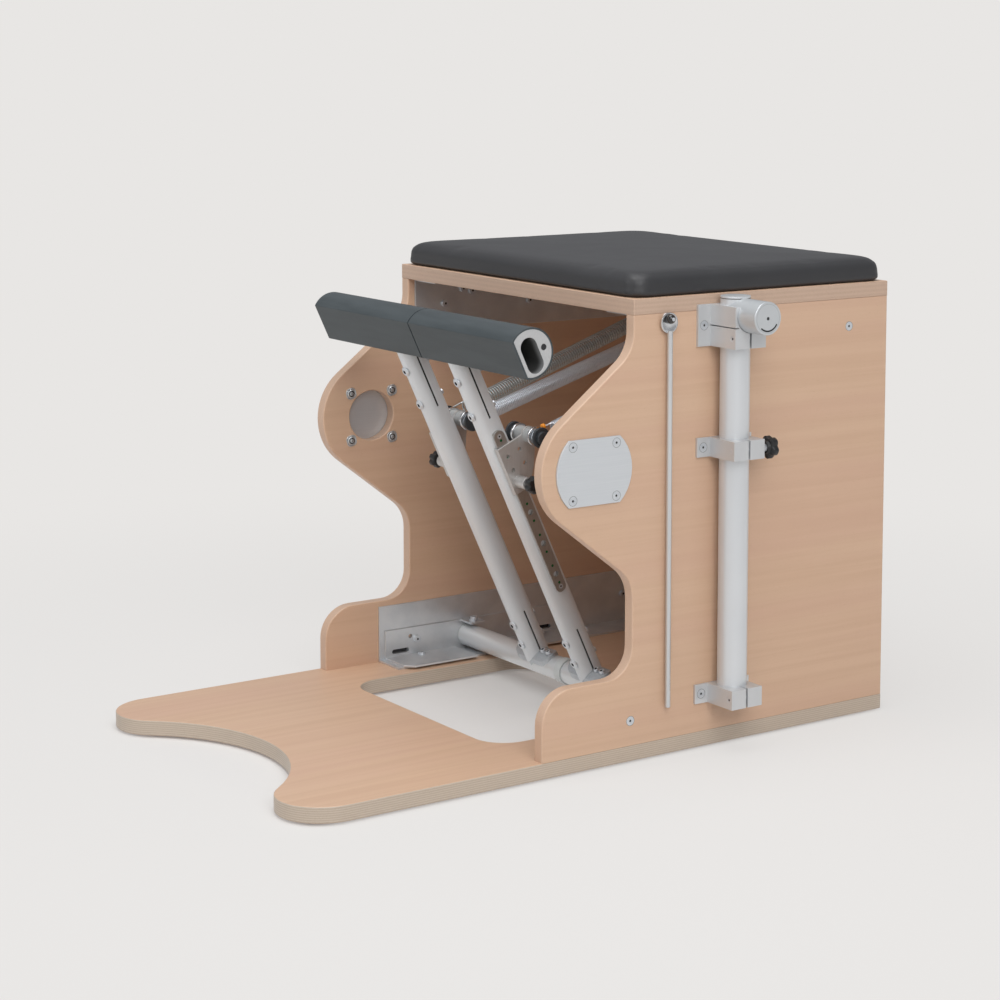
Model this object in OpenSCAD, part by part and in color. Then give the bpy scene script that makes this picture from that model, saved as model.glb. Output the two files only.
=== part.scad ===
// Exercise chair with two sprung pedals and two lift-out handle poles.
// The box stands on a long base board. Y runs to the back, Z up, and the origin
// is on the floor under the middle of the base board.

/* [Box] */
// Width over the side panels
box_w = 578; // [480:1:700]
// Depth of the side panels at the seat
box_d = 437; // [380:1:520]
// Height of the seat board's top above the base board's underside
box_h = 608; // [560:1:700]
// Thickness of a side panel
side_t = 18; // [15:0.5:24]
// Thickness of the base board
base_t = 21; // [18:0.5:27]
// Thickness of the seat board
top_t = 21; // [15:0.5:27]
// Thickness of the back panel
back_t = 18; // [12:0.5:24]
// Height of the glides under the base board
foot_h = 3; // [2:0.5:8]
// Radius of a glide
foot_r = 15; // [10:1:22]

/* [Base board] */
// How far the base board reaches in front of the box
base_reach = 484; // [440:1:560]
// Radius of the two rounded front lobes
lobe_r = 61; // [45:1:80]
// Depth of the hollow between the lobes
scallop_depth = 105.5; // [80:0.5:130]
// Width of the floor opening in the base board
cut_w = 380; // [320:1:400]
// How far the floor opening reaches in front of the box
cut_front = 149; // [120:1:200]
// How far the floor opening reaches behind the box front
cut_back = 155; // [140:1:220]
// Corner radius of the floor opening
cut_r = 45; // [20:1:60]

/* [Side panel] */
// How far the round bulge stands in front of the box
bulge_reach = 143.1; // [125:0.1:160]
// Drop of the bulge's centre below the seat board's top
bulge_drop = 217.4; // [190:0.1:236]
// Radius of the bulge
bulge_r = 80.3; // [75:0.1:90]
// Slope of the two straight runs beside the bulge
bulge_slope = 37.8; // [30:0.1:45]
// Radius of the hollow fillets above and below the bulge
fillet_r = 50; // [30:1:60]
// Height of the low front shoulder
shoulder_z = 112.5; // [95:0.5:130]
// Radius of the hollow corner at the shoulder
shoulder_r = 40; // [20:1:50]
// How far the shoulder stands in front of the box
shoulder_reach = 141.8; // [120:0.1:160]
// Radius of the shoulder's rounded front corner
shoulder_front_r = 46; // [30:1:60]
// Radius of the round hole in the bulge
panel_hole_r = 36.4; // [30:0.1:42]

/* [Cover plate] */
// Radius of the plate's round ends
plate_r = 59; // [54:0.5:64]
// Height of the plate between its flats
plate_h = 87; // [82:0.5:96]
// Thickness of the plate
plate_t = 3; // [2:0.5:5]
// Screw distance from the plate's centre, front to back
plate_screw_y = 34; // [31:0.5:37]
// Screw distance from the plate's centre, up and down
plate_screw_z = 34.5; // [31:0.5:37]

/* [Seat cushion] */
// Height of the cushion at its edge
cushion_h = 30; // [22:1:50]
// Rise of the crown above the edge
cushion_crown = 4; // [2:0.5:10]
// Corner radius in plan
cushion_corner_r = 24; // [12:1:40]
// How far the sides are drawn in at the bottom
cushion_tuck = 3; // [1:0.5:6]
// Radius of the upper edge
cushion_edge_r = 13; // [8:1:18]

/* [Steel angles] */
// Sheet thickness of the angles
sheet_t = 3; // [2:0.5:4]
// Width of the angles' horizontal legs
angle_w = 58; // [50:1:70]
// Height of the upper angles
top_angle_h = 79; // [70:1:90]
// Gap from the box front to the upper angles
top_angle_gap = 10.5; // [4:0.5:40]
// Height of the lower angles
bottom_angle_h = 83; // [75:1:100]
// How far the lower angles reach in front of the box
bottom_angle_reach = 54; // [20:1:90]
// Height of the axle plates above the lower angles' sheet
axle_plate_h = 43; // [41:1:50]
// Width of the axle plates' horizontal legs
axle_plate_w = 67; // [62:1:70]
// How far the axle plates reach in front of the box
axle_plate_reach = 45; // [20:1:54]
// Length of the axle plates
axle_plate_len = 307; // [270:1:340]

/* [Pedals] */
// Axle distance behind the box front
axle_y = 97; // [80:0.5:120]
// Axle height above the base board's underside
axle_z = 43; // [41:0.5:48]
// Radius of the axle shaft
shaft_r = 8; // [6:0.5:10]
// Outer radius of the two axle tubes
tube_r = 16.75; // [15:0.25:18]
// Wall of the axle tubes
tube_wall = 2.5; // [2:0.25:4]
// Half the length of the middle spacer
spacer_half = 7; // [4:0.5:12]
// Sideways distance of each arm from the middle
arm_x = 66; // [60:0.5:80]
// Forward tilt of the arms at rest
arm_tilt = 24.85; // [20:0.05:30]
// Half the arm section's width, sideways
arm_a = 13; // [11:0.5:15]
// Half the arm section's depth, front to back
arm_b = 19; // [16:0.5:21]
// Wall of the arms
arm_wall = 2.5; // [2:0.25:3.5]
// Distance from the axle to the middle of the foot bar
bar_s = 552; // [480:1:600]
// Radius of the padded foot bar
bar_r = 33.5; // [31:0.5:38]
// Distance from the foot bar's middle to its flat front
bar_flat = 20; // [17:0.5:24]
// Thickness of the foot bar's rubber cover
sleeve_t = 2.5; // [2:0.25:4]
// Outer end of the foot bars, from the middle
bar_end = 254; // [220:1:262]
// Gap between the two foot bars
bar_gap = 2.5; // [2:0.5:10]
// Half the width of the foot bar's slot
slot_r = 12.4; // [9:0.1:14]
// Length of the slot between its end centres
slot_len = 24.3; // [16:0.1:28]

/* [Carriages] */
// First hole of the hole strip, from the axle
strip_s = 183; // [175:1:200]
// Hole spacing of the strip
strip_pitch = 50; // [40:1:50]
// Number of holes in the strip
strip_holes = 5; // [4:1:5]
// Width of the strip
strip_w = 17; // [14:0.5:19]
// Outer face of the strip from the arm's middle
strip_x = 18; // [16.5:0.5:20]
// Hole that the carriage is at, counted from the bottom
carriage_hole = 4; // [4:1:4]
// Wall of the carriage
carriage_wall = 3.7; // [3:0.1:5]
// Height of the carriage below its lock hole
carriage_below = 15; // [12:0.5:20]
// Height of the carriage above its lock hole
carriage_above = 56; // [50:0.5:62]
// Spool distance above the lock hole
spool_up = 50; // [44:0.5:54]
// Spool distance behind the arm's middle
spool_n = 40; // [38:0.5:46]
// Radius of the locking pin
pin_r = 4; // [3:0.25:5]
// Travel of the locking pin
pin_travel = 5; // [4:0.5:6]

/* [Springs] */
// Outer diameter of the heavy spring
heavy_od = 23; // [18:0.5:24]
// Wire of the heavy spring
heavy_wire = 3.2; // [2.5:0.1:3.6]
// Curls of the heavy spring
heavy_curls = 33; // [20:1:36]
// Outer diameter of the light springs
light_od = 22; // [17:0.5:23]
// Wire of the light springs
light_wire = 2.6; // [2:0.1:3]
// Curls of each light spring
light_curls = 18; // [12:1:20]
// Spring bar's distance in front of the back panel
rail_off = 19; // [16:0.5:30]
// Spring bar's distance below the seat board
rail_drop = 36; // [30:0.5:50]
// Radius of the spring bar
rail_r = 5; // [4:0.5:6]

/* [Handle poles] */
// Diameter of a pole
pole_d = 40; // [32:0.5:42]
// Wall of a pole
pole_wall = 2.5; // [2:0.25:4]
// Pole distance behind the box front
pole_y = 147; // [130:1:180]
// Pole axis from the side panel's outer face
pole_off = 24.5; // [23.5:0.5:30]
// Drop of the upper bracket's middle below the seat board's top
upper_drop = 40.6; // [34:0.1:66]
// Height of the upper bracket
upper_h = 55.4; // [52:0.2:60]
// Drop of the middle bracket's middle below the seat board's top
middle_drop = 202.6; // [170:0.1:246]
// Middle height of the lower bracket
lower_z = 73.2; // [50:0.1:110]
// Height of the middle and lower brackets
guide_h = 26; // [20:1:34]
// Depth of the bracket blocks, front to back
block_d = 51; // [48:0.5:60]
// How far the bracket blocks stand off the panel
block_w = 57; // [54:0.5:64]
// Width of a bracket's flange beside its block
flange_w = 20.2; // [17:0.1:26]
// Thickness of a bracket's flange
flange_t = 4; // [3:0.5:6]
// Diameter of a handle grip
grip_d = 44; // [38:0.5:45]
// Height of a grip's axis above the middle of the upper bracket
grip_up = 15; // [12:0.5:18]
// Reach of a grip from the pole's axis
grip_reach = 67.5; // [60:0.5:90]
// Pole top above the upper bracket
pole_over = 11.6; // [6:0.2:20]

/* [Storage rod] */
// Radius of the rod
rod_r = 4; // [3:0.25:5]
// Height of the rod's lower end
rod_low = 65; // [50:1:150]
// Rod distance behind the box front
rod_y = 53; // [48:0.5:62]
// Drop of the rod's peg below the seat board's top
rod_drop = 29; // [19:0.5:38]

/* [Hidden] */

// Colours
beech = [0.79, 0.65, 0.53];
vinyl = [0.22, 0.22, 0.23];
rubber = [0.33, 0.36, 0.37];
raw_aluminium = [0.76, 0.77, 0.77];
arm_grey = [0.71, 0.70, 0.69];
zinc = [0.62, 0.65, 0.66];
bright_steel = [0.82, 0.83, 0.85];
dark_plastic = [0.10, 0.10, 0.11];
white_plastic = [0.86, 0.86, 0.85];

// Facets of round parts, and points on a quarter arc
round_fn = 48;
quarter = 10;
// Running clearance of a shaft, and the gap of a sliding fit
run_gap = 0.05;
slide_gap = 0.3;
// Clearance of a screw in its hole
screw_gap = 0.1;
// How far a cutter passes its face
past = 1;

// Places that follow from the sizes
half_w = box_w / 2;
inner_x = half_w - side_t;
origin_y = (base_reach - box_d) / 2;
board_z = box_h - top_t;
bulge_z = box_h - bulge_drop;
upper_z = box_h - upper_drop;
middle_z = box_h - middle_drop;
rod_z = box_h - rod_drop;
rod_len = rod_z - rod_low;
back_y = box_d - back_t;
bulge_y = bulge_r - bulge_reach;
tube_end = inner_x - 2 * sheet_t - 3;
thrust_gap = 0.3;

// Screws: radius of shank, head radius and head height
csk_r = 3;
csk_head_r = 6;
csk_head_h = 3;
csk_len = 15;
bolt_r = 3;
bolt_head_r = 5.5;
bolt_head_h = 3.6;
bolt_len = 8;
washer_t = 2.5;
arm_screw_r = 4;
arm_head_r = 6.5;
arm_head_h = 1.8;
// Depth of the spot face that an arm screw's head sits in
head_seat = 2;
foot_screw_r = 2.5;
foot_head_r = 4.2;
foot_head_h = 4.5;
// Bracket clamp screws, sunk in their block
sunk_head_r = 4.2;
sunk_head_h = 3;
sunk_depth = 3.4;
nut_flange_r = 9;
nut_flange_t = 1.2;
nut_barrel_r = 4.8;
nut_barrel_len = 9;

function arc(c, r, a0, a1, n) =
    [for (i = [0 : n]) let (a = a0 + (a1 - a0) * i / n) [c.x + r * cos(a), c.y + r * sin(a)]];
function oval(a, b) =
    [for (i = [0 : round_fn - 1]) let (t = 360 * i / round_fn) [a * cos(t), b * sin(t)]];

// From the box's own place, front face at Y 0 and base underside at Z 0, to the frame
module place() {
    translate([0, origin_y, foot_h]) children();
}

// Draws a right-hand piece, or its mirror image on the left
module on_side(side) {
    mirror([side < 0 ? 1 : 0, 0, 0]) place() children();
}

// Arm frame: X from the arm's middle outwards, Y behind the arm, Z along it from the axle
module on_arm(side) {
    on_side(side) translate([arm_x, axle_y, axle_z]) rotate([arm_tilt, 0, 0]) children();
}

// Cylinders along X and Y that start at the given place
module bar_x(r, len) {
    rotate([0, 90, 0]) cylinder(r = r, h = len, $fn = round_fn);
}
module bar_y(r, len) {
    rotate([-90, 0, 0]) cylinder(r = r, h = len, $fn = round_fn);
}
module bar_z(r, len) {
    cylinder(r = r, h = len, $fn = round_fn);
}

// A sheet whose outline is drawn in Y and Z, as thick as t along X
module sheet_yz(t) {
    rotate([90, 0, 90]) linear_extrude(t) children();
}

// Box sides and boards
function base_outline() =
    let (
        lobe_x = half_w - lobe_r,
        lobe_y = lobe_r - base_reach,
        scallop_y = scallop_depth - base_reach,
        drop = scallop_y - lobe_y,
        scallop_r = (lobe_x * lobe_x + drop * drop - lobe_r * lobe_r) / (2 * (lobe_r + drop)),
        scallop_c = scallop_y - scallop_r,
        swing = atan2(lobe_y - scallop_c, lobe_x)
    )
    concat(
        [[half_w, box_d]],
        arc([lobe_x, lobe_y], lobe_r, 0, swing - 180, 2 * quarter),
        arc([0, scallop_c], scallop_r, swing, 180 - swing, 2 * quarter),
        arc([-lobe_x, lobe_y], lobe_r, -swing, -180, 2 * quarter),
        [[-half_w, box_d]]
    );

function cut_outline() =
    let (x = cut_w / 2 - cut_r, front = cut_r - cut_front, back = cut_back - cut_r)
    concat(
        arc([x, back], cut_r, 0, 90, quarter),
        arc([-x, back], cut_r, 90, 180, quarter),
        arc([-x, front], cut_r, 180, 270, quarter),
        arc([x, front], cut_r, 270, 360, quarter)
    );

module base_board() {
    color(beech) place() difference() {
        linear_extrude(base_t) polygon(base_outline());
        translate([0, 0, -past]) linear_extrude(base_t + 2 * past) polygon(cut_outline());
        for (side = [-1, 1]) for (y = leg_bolt_y)
            translate([side * leg_bolt_x, y, base_t - bolt_len + sheet_t])
                bar_z(bolt_r + screw_gap, bolt_len);
    }
}

foot_at = [
    [half_w - lobe_r, lobe_r - base_reach],
    [half_w - 2 * foot_r, 0],
    [half_w - 2 * foot_r, box_d - 2 * foot_r]
];

module base_feet() {
    color(dark_plastic) place() for (side = [-1, 1]) for (p = foot_at)
        translate([side * p.x, p.y, -foot_h]) bar_z(foot_r, foot_h);
}

// Where the straight runs beside the bulge meet the box front, above and below its middle
bulge_rise = (bulge_r - bulge_y * sin(bulge_slope)) / cos(bulge_slope);
// Length that a fillet takes off each of its two straight runs
fillet_run = fillet_r / tan((90 + bulge_slope) / 2);

function panel_outline() =
    let (
        turn = 90 - bulge_slope,
        high = bulge_z + bulge_rise + fillet_run,
        low = bulge_z - bulge_rise - fillet_run
    )
    concat(
        [[box_d, base_t], [box_d, board_z], [0, board_z]],
        arc([-fillet_r, high], fillet_r, 0, -turn, quarter),
        arc([bulge_y, bulge_z], bulge_r, 180 - turn, 180 + turn, 2 * quarter),
        arc([-fillet_r, low], fillet_r, turn, 0, quarter),
        arc([-shoulder_r, shoulder_z + shoulder_r], shoulder_r, 0, -90, quarter),
        arc([shoulder_front_r - shoulder_reach, shoulder_z - shoulder_front_r],
            shoulder_front_r, 90, 180, quarter),
        [[-shoulder_reach, base_t]]
    );

plate_screw_at =
    [for (y = [-1, 1]) for (z = [-1, 1]) [bulge_y + y * plate_screw_y, bulge_z + z * plate_screw_z]];
bracket_z = [upper_z, middle_z, lower_z];
flange_y = block_d / 2 + flange_w / 2;
bracket_screw_at = [for (y = [-1, 1]) for (z = bracket_z) [pole_y + y * flange_y, z]];
// Screws from outside into the steel angles
angle_screw_at = [[back_y - 52, board_z - 38], [-2.5, base_t + 33]];
// Bolts from inside through the angles into the panel
top_bolt_at = [
    [top_angle_gap + 50.5, board_z - 39], [top_angle_gap + 82, board_z - 18.3],
    [top_angle_gap + 98, board_z - 22.4], [top_angle_gap + 201.4, board_z - 42.7],
    [back_y - 30, board_z - 20]
];
low_bolt_at = [[back_y - 30, base_t + 45]];
plate_bolt_at = [[8.5, base_t + 27.5], [200, base_t + 27.5]];
leg_bolt_x = inner_x - 17;
leg_bolt_y = [10.6, 225];

module side_panel(side) {
    color(beech) on_side(side) difference() {
        translate([inner_x, 0, 0]) sheet_yz(side_t) polygon(panel_outline());
        translate([inner_x - past, bulge_y, bulge_z]) bar_x(panel_hole_r, side_t + 2 * past);
        for (p = plate_screw_at) translate([inner_x, p.x, p.y]) {
            translate([-past, 0, 0]) bar_x(nut_barrel_r + screw_gap, nut_barrel_len + past);
            bar_x(csk_r + screw_gap, side_t + past);
        }
        for (p = bracket_screw_at) translate([half_w - csk_len + flange_t, p.x, p.y])
            bar_x(csk_r + screw_gap, csk_len);
        for (p = angle_screw_at) translate([half_w, p.x, p.y]) countersink(csk_len);
        for (p = concat(top_bolt_at, low_bolt_at, plate_bolt_at))
            translate([inner_x - past, p.x, p.y]) bar_x(bolt_r + screw_gap, bolt_len);
        translate([half_w - 10, rod_y, rod_z]) bar_x(csk_r + screw_gap, 10 + past);
    }
}

module top_board() {
    color(beech) place() translate([-half_w, 0, board_z]) cube([box_w, box_d, top_t]);
}

rail_z = board_z - rail_drop;
rail_y = back_y - rail_off;
rail_half = arm_x + 74;
rail_bolt_at = [[-rail_half + 30, board_z - 14], [rail_half - 30, board_z - 14]];

module back_panel() {
    color(beech) place() difference() {
        translate([-inner_x, back_y, base_t]) cube([2 * inner_x, back_t, board_z - base_t]);
        for (p = rail_bolt_at) translate([p.x, back_y - past, p.y])
            bar_y(bolt_r + screw_gap, bolt_len);
    }
}

// Cushion: rings of one rounded outline, drawn in at the foot, crowned on top
cushion_sides = 4 * 12;
cushion_rise = [
    for (i = [0 : 2]) [cushion_tuck * (1 - i / 2) * (1 - i / 2), i * (cushion_h - cushion_edge_r) / 4],
    for (i = [0 : 5]) let (a = 18 * i)
        [cushion_edge_r * (1 - cos(a)), cushion_h - cushion_edge_r + cushion_edge_r * sin(a)],
    for (i = [1 : 7]) let (f = i / 8)
        [cushion_edge_r + (box_d / 2 - cushion_edge_r) * f,
         cushion_h + cushion_crown * (1 - (1 - f) * (1 - f))]
];

function cushion_ring(inset, z) =
    let (
        r = max(cushion_corner_r - inset, cushion_corner_r * (1 - 2 * inset / box_d)),
        x = half_w - inset - r,
        y = box_d / 2 - inset - r,
        steps = cushion_sides / 4 - 1
    )
    [for (q = [0 : 3]) for (i = [0 : steps])
        let (a = 90 * q + 90 * i / steps, sx = (q == 0 || q == 3) ? 1 : -1, sy = q < 2 ? 1 : -1)
        [sx * x + r * cos(a), box_d / 2 + sy * y + r * sin(a), box_h + z]];

module seat_cushion() {
    n = cushion_sides;
    rings = len(cushion_rise);
    points = concat(
        [for (p = cushion_rise) each cushion_ring(p.x, p.y)],
        [[0, box_d / 2, box_h], [half_w - box_d / 2, box_d / 2, box_h + cushion_h + cushion_crown],
         [box_d / 2 - half_w, box_d / 2, box_h + cushion_h + cushion_crown]]
    );
    foot = rings * n;
    right_top = foot + 1;
    left_top = foot + 2;
    last = (rings - 1) * n;
    walls = [for (k = [0 : rings - 2]) for (i = [0 : n - 1])
        let (a = k * n + i, b = k * n + (i + 1) % n) each [[a, b + n, b], [a, a + n, b + n]]];
    floor_faces = [for (i = [0 : n - 1]) [foot, i, (i + 1) % n]];
    top_faces = [for (i = [0 : n - 1])
        let (mid = i + 1 == n / 4 || i + 1 == 3 * n / 4, right = i < n / 4 || i >= 3 * n / 4)
        each mid
            ? [[last + i, i + 1 == n / 4 ? right_top : left_top, last + (i + 1) % n],
               [last + (i + 1 == n / 4 ? i + 1 : (i + 1) % n), i + 1 == n / 4 ? right_top : left_top,
                i + 1 == n / 4 ? left_top : right_top]]
            : [[last + i, right ? right_top : left_top, last + (i + 1) % n]]];
    color(vinyl) place() polyhedron(points, concat(walls, floor_faces, top_faces), convexity = 4);
}

// Steel angles and axle plates
module top_angle(side) {
    len = back_y - top_angle_gap;
    color(zinc) on_side(side) difference() {
        union() {
            translate([inner_x - sheet_t, top_angle_gap, board_z - top_angle_h])
                cube([sheet_t, len, top_angle_h]);
            translate([inner_x - angle_w, top_angle_gap, board_z - sheet_t])
                cube([angle_w, len, sheet_t]);
        }
        for (p = concat(top_bolt_at, [angle_screw_at[0]]))
            translate([inner_x - sheet_t - past, p.x, p.y])
                bar_x(bolt_r + screw_gap, sheet_t + 2 * past);
    }
}

module bottom_angle(side) {
    len = back_y + bottom_angle_reach;
    color(zinc) on_side(side) difference() {
        union() {
            translate([inner_x - sheet_t, -bottom_angle_reach, base_t])
                cube([sheet_t, len, bottom_angle_h]);
            translate([inner_x - angle_w, -bottom_angle_reach, base_t])
                cube([angle_w, len, sheet_t]);
        }
        for (p = concat(low_bolt_at, plate_bolt_at, [angle_screw_at[1]]))
            translate([inner_x - sheet_t - past, p.x, p.y])
                bar_x(bolt_r + screw_gap, sheet_t + 2 * past);
        translate([inner_x - sheet_t - past, axle_y, axle_z])
            bar_x(shaft_r + screw_gap, sheet_t + 2 * past);
        plate_slots(inner_x - sheet_t, sheet_t);
        for (y = leg_bolt_y) translate([leg_bolt_x, y, base_t - past])
            bar_z(bolt_r + screw_gap, sheet_t + 2 * past);
    }
}

plate_x = inner_x - 2 * sheet_t;
plate_z = base_t + sheet_t;
keeper_y = axle_y + 2;
keeper_x = plate_x - 16;
keeper_w = 26;
plate_slot_r = 3.3;
plate_slot_half = 11;
plate_slot_y = [-19.5, axle_plate_len - axle_plate_reach - 26];
plate_slot_z = plate_z + 10;

module slot_x(y, z, half_len, r, t) {
    translate([0, y, z]) {
        translate([0, -half_len, 0]) bar_x(r, t);
        translate([0, half_len, 0]) bar_x(r, t);
        translate([0, -half_len, -r]) cube([t, 2 * half_len, 2 * r]);
    }
}

module plate_slots(x, t) {
    for (y = plate_slot_y) translate([x - past, 0, 0])
        slot_x(y, plate_slot_z, plate_slot_half, plate_slot_r, t + 2 * past);
}

module axle_plate(side) {
    notch = tube_r + 4;
    leg_x = inner_x - sheet_t - axle_plate_w;
    chamfer = 12;
    color(zinc) on_side(side) difference() {
        union() {
            translate([plate_x, -axle_plate_reach, plate_z])
                cube([sheet_t, axle_plate_len, axle_plate_h]);
            translate([0, 0, plate_z]) linear_extrude(sheet_t) polygon([
                [leg_x + chamfer, -axle_plate_reach], [inner_x - sheet_t, -axle_plate_reach],
                [inner_x - sheet_t, axle_plate_len - axle_plate_reach],
                [leg_x, axle_plate_len - axle_plate_reach], [leg_x, chamfer - axle_plate_reach]
            ]);
            translate([keeper_x - keeper_w / 2, keeper_y - keeper_w / 2,
                       plate_z + axle_plate_h - sheet_t])
                cube([plate_x + sheet_t - keeper_x + keeper_w / 2, keeper_w, sheet_t]);
        }
        translate([leg_x - past, axle_y - notch, plate_z - past])
            cube([plate_x - leg_x + past, 2 * notch, sheet_t + 2 * past]);
        translate([plate_x - past, axle_y, axle_z]) bar_x(shaft_r + screw_gap, sheet_t + 2 * past);
        plate_slots(plate_x, sheet_t);
        for (p = concat(plate_bolt_at, [angle_screw_at[1]])) translate([plate_x - past, p.x, p.y])
            bar_x(bolt_r + screw_gap, sheet_t + 2 * past);
        for (y = leg_bolt_y) translate([leg_bolt_x, y, plate_z - past])
            bar_z(bolt_r + screw_gap, sheet_t + 2 * past);
        translate([keeper_x, keeper_y, plate_z + axle_plate_h - sheet_t - past])
            bar_z(bolt_r + screw_gap, sheet_t + 2 * past);
    }
}

// Axle
module axle_shaft() {
    half = inner_x - thrust_gap;
    color(bright_steel) place() translate([-half, axle_y, axle_z]) bar_x(shaft_r, 2 * half);
}

module axle_spacer() {
    color(white_plastic) place() translate([-spacer_half, axle_y, axle_z]) difference() {
        bar_x(tube_r + 1.75, 2 * spacer_half);
        translate([-past, 0, 0]) bar_x(shaft_r + run_gap, 2 * (spacer_half + past));
    }
}

tube_start = spacer_half + thrust_gap;

module axle_tube(side) {
    color(arm_grey) on_side(side) difference() {
        translate([tube_start, axle_y, axle_z]) bar_x(tube_r, tube_end - tube_start);
        translate([tube_start - past, axle_y, axle_z])
            bar_x(tube_r - tube_wall, tube_end - tube_start + 2 * past);
        for (x = foot_screw_x) translate([arm_x + x, axle_y, axle_z]) rotate([arm_tilt, 0, 0])
            bar_z(foot_screw_r + screw_gap, tube_r + past);
    }
}

bush_len = 15;
bush_rim = 2.5;

module axle_bushes(side) {
    color(white_plastic) on_side(side) translate([0, axle_y, axle_z]) {
        difference() {
            translate([tube_start, 0, 0]) bar_x(tube_r - tube_wall - run_gap, bush_len);
            translate([tube_start - past, 0, 0]) bar_x(shaft_r + run_gap, bush_len + 2 * past);
        }
        difference() {
            union() {
                translate([tube_end - bush_len, 0, 0]) bar_x(tube_r - tube_wall - run_gap, bush_len);
                translate([tube_end, 0, 0]) bar_x(tube_r, bush_rim);
            }
            translate([tube_end - bush_len - past, 0, 0])
                bar_x(shaft_r + run_gap, bush_len + bush_rim + 2 * past);
        }
    }
}

// Pedal arms. The saddle sits on the axle tube, its stub goes up into the arm
saddle_t = 5.5;
saddle_r = tube_r + saddle_t;
saddle_half = arm_a + 29;
foot_screw_x = [-arm_a - 21, -arm_a - 8, arm_a + 8, arm_a + 21];
foot_stub = 82;
low_screw_s = [41, 74];
core_r = bar_r - sleeve_t;
core_flat = bar_flat - sleeve_t;
// The arm's top is cut round to sit on the foot bar's core
arm_end = bar_s - sqrt(core_r * core_r - arm_b * arm_b);
top_screw_s = [bar_s - 111, bar_s - 58];
top_slit = bar_s - 121;
low_slit = 90;
stub_end = top_slit;

module core_seat() {
    translate([-arm_a - past, 0, bar_s]) bar_x(core_r + run_gap / 5, 2 * (arm_a + past));
}

module arm_cross_holes(places, r) {
    for (s = places) translate([0, -arm_b - past, s]) bar_y(r, 2 * (arm_b + past));
}

module arm_foot(side) {
    color(zinc) on_arm(side) difference() {
        union() {
            intersection() {
                translate([-saddle_half, 0, 0]) bar_x(saddle_r, 2 * saddle_half);
                linear_extrude(saddle_r + past) polygon(concat(
                    arc([saddle_half - 15, 0], 15, -90, 90, quarter),
                    arc([15 - saddle_half, 0], 15, 90, 270, quarter)
                ));
            }
            linear_extrude(foot_stub)
                polygon(oval(arm_a - arm_wall - screw_gap, arm_b - arm_wall - screw_gap));
        }
        translate([-saddle_half - past, 0, 0]) bar_x(tube_r + run_gap / 5, 2 * (saddle_half + past));
        translate([-saddle_half - past, -saddle_r, -past])
            cube([2 * (saddle_half + past), 2 * saddle_r, past + 4]);
        for (x = foot_screw_x) translate([x, 0, 0]) bar_z(foot_screw_r + screw_gap, saddle_r + past);
        arm_cross_holes(low_screw_s, arm_screw_r + screw_gap);
    }
}

module pedal_arm(side) {
    slit = 1.6;
    start = saddle_r - saddle_t - 5;
    color(arm_grey) on_arm(side) difference() {
        translate([0, 0, start]) linear_extrude(arm_end - start) difference() {
            polygon(oval(arm_a, arm_b));
            polygon(oval(arm_a - arm_wall, arm_b - arm_wall));
        }
        translate([-arm_a - past, 0, 0]) bar_x(saddle_r + screw_gap, 2 * (arm_a + past));
        translate([-arm_a - past, -slit / 2, 0]) cube([2 * (arm_a + past), slit, low_slit]);
        translate([-arm_a - past, -slit / 2, top_slit])
            cube([2 * (arm_a + past), slit, arm_end - top_slit + past]);
        core_seat();
        arm_cross_holes(concat(low_screw_s, top_screw_s), arm_screw_r + screw_gap);
        for (s = concat(low_screw_s, top_screw_s)) translate([0, -arm_b - past, s])
            bar_y(arm_head_r + screw_gap, past + head_seat);
        for (s = strip_screw_s) translate([0, 0, s]) bar_x(2 + screw_gap, arm_a + past);
    }
}

module bar_stub(side) {
    color(zinc) on_arm(side) difference() {
        translate([0, 0, stub_end]) linear_extrude(arm_end - stub_end)
            polygon(oval(arm_a - arm_wall - screw_gap, arm_b - arm_wall - screw_gap));
        core_seat();
        arm_cross_holes(top_screw_s, arm_screw_r + screw_gap);
    }
}

// Foot bar: a round bar with a flat front
function bar_outline(r, flat) =
    let (a = acos(flat / r))
    arc([0, 0], r, a - 180, 180 - a, 4 * quarter);

bar_start = bar_gap / 2;
bar_len = bar_end - bar_start;
// The slot lies as far behind the bar's middle, towards the axle, as it was drawn
slot_low = -slot_len / 2 - 3.15;

module along_bar(side) {
    on_side(side) translate([bar_start, axle_y, axle_z]) rotate([arm_tilt, 0, 0])
        translate([0, 0, bar_s]) sheet_yz(bar_len) children();
}

module arm_socket(side) {
    low = bar_s - bar_r - past;
    on_arm(side) translate([0, 0, low]) linear_extrude(arm_end - low)
        polygon(oval(arm_a + screw_gap, arm_b + screw_gap));
}

module pedal_bar(side) {
    color(raw_aluminium) difference() {
        along_bar(side) polygon(bar_outline(core_r, core_flat));
        on_side(side) translate([bar_start - past, axle_y, axle_z]) rotate([arm_tilt, 0, 0])
            translate([0, 0, bar_s + slot_low]) {
                bar_x(slot_r, bar_len + 2 * past);
                translate([0, 0, slot_len]) bar_x(slot_r, bar_len + 2 * past);
                translate([0, -slot_r, 0]) cube([bar_len + 2 * past, 2 * slot_r, slot_len]);
                translate([0, 20.2, slot_len / 2 + 1.5]) bar_x(4.2, bar_len + 2 * past);
            }
    }
}

module pedal_sleeve(side) {
    color(rubber) difference() {
        along_bar(side) difference() {
            polygon(bar_outline(bar_r, bar_flat));
            polygon(bar_outline(core_r, core_flat));
        }
        arm_socket(side);
    }
}

// Hole strip on the outer side of each arm
carriage_s = strip_s + (carriage_hole - 1) * strip_pitch;
strip_top = strip_s + (strip_holes - 1) * strip_pitch + 28;
strip_low = strip_s - 28;
strip_screw_s = [strip_low + 8, strip_top - 8];
rail_t = 2.5;
rail_lip = 2;

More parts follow.
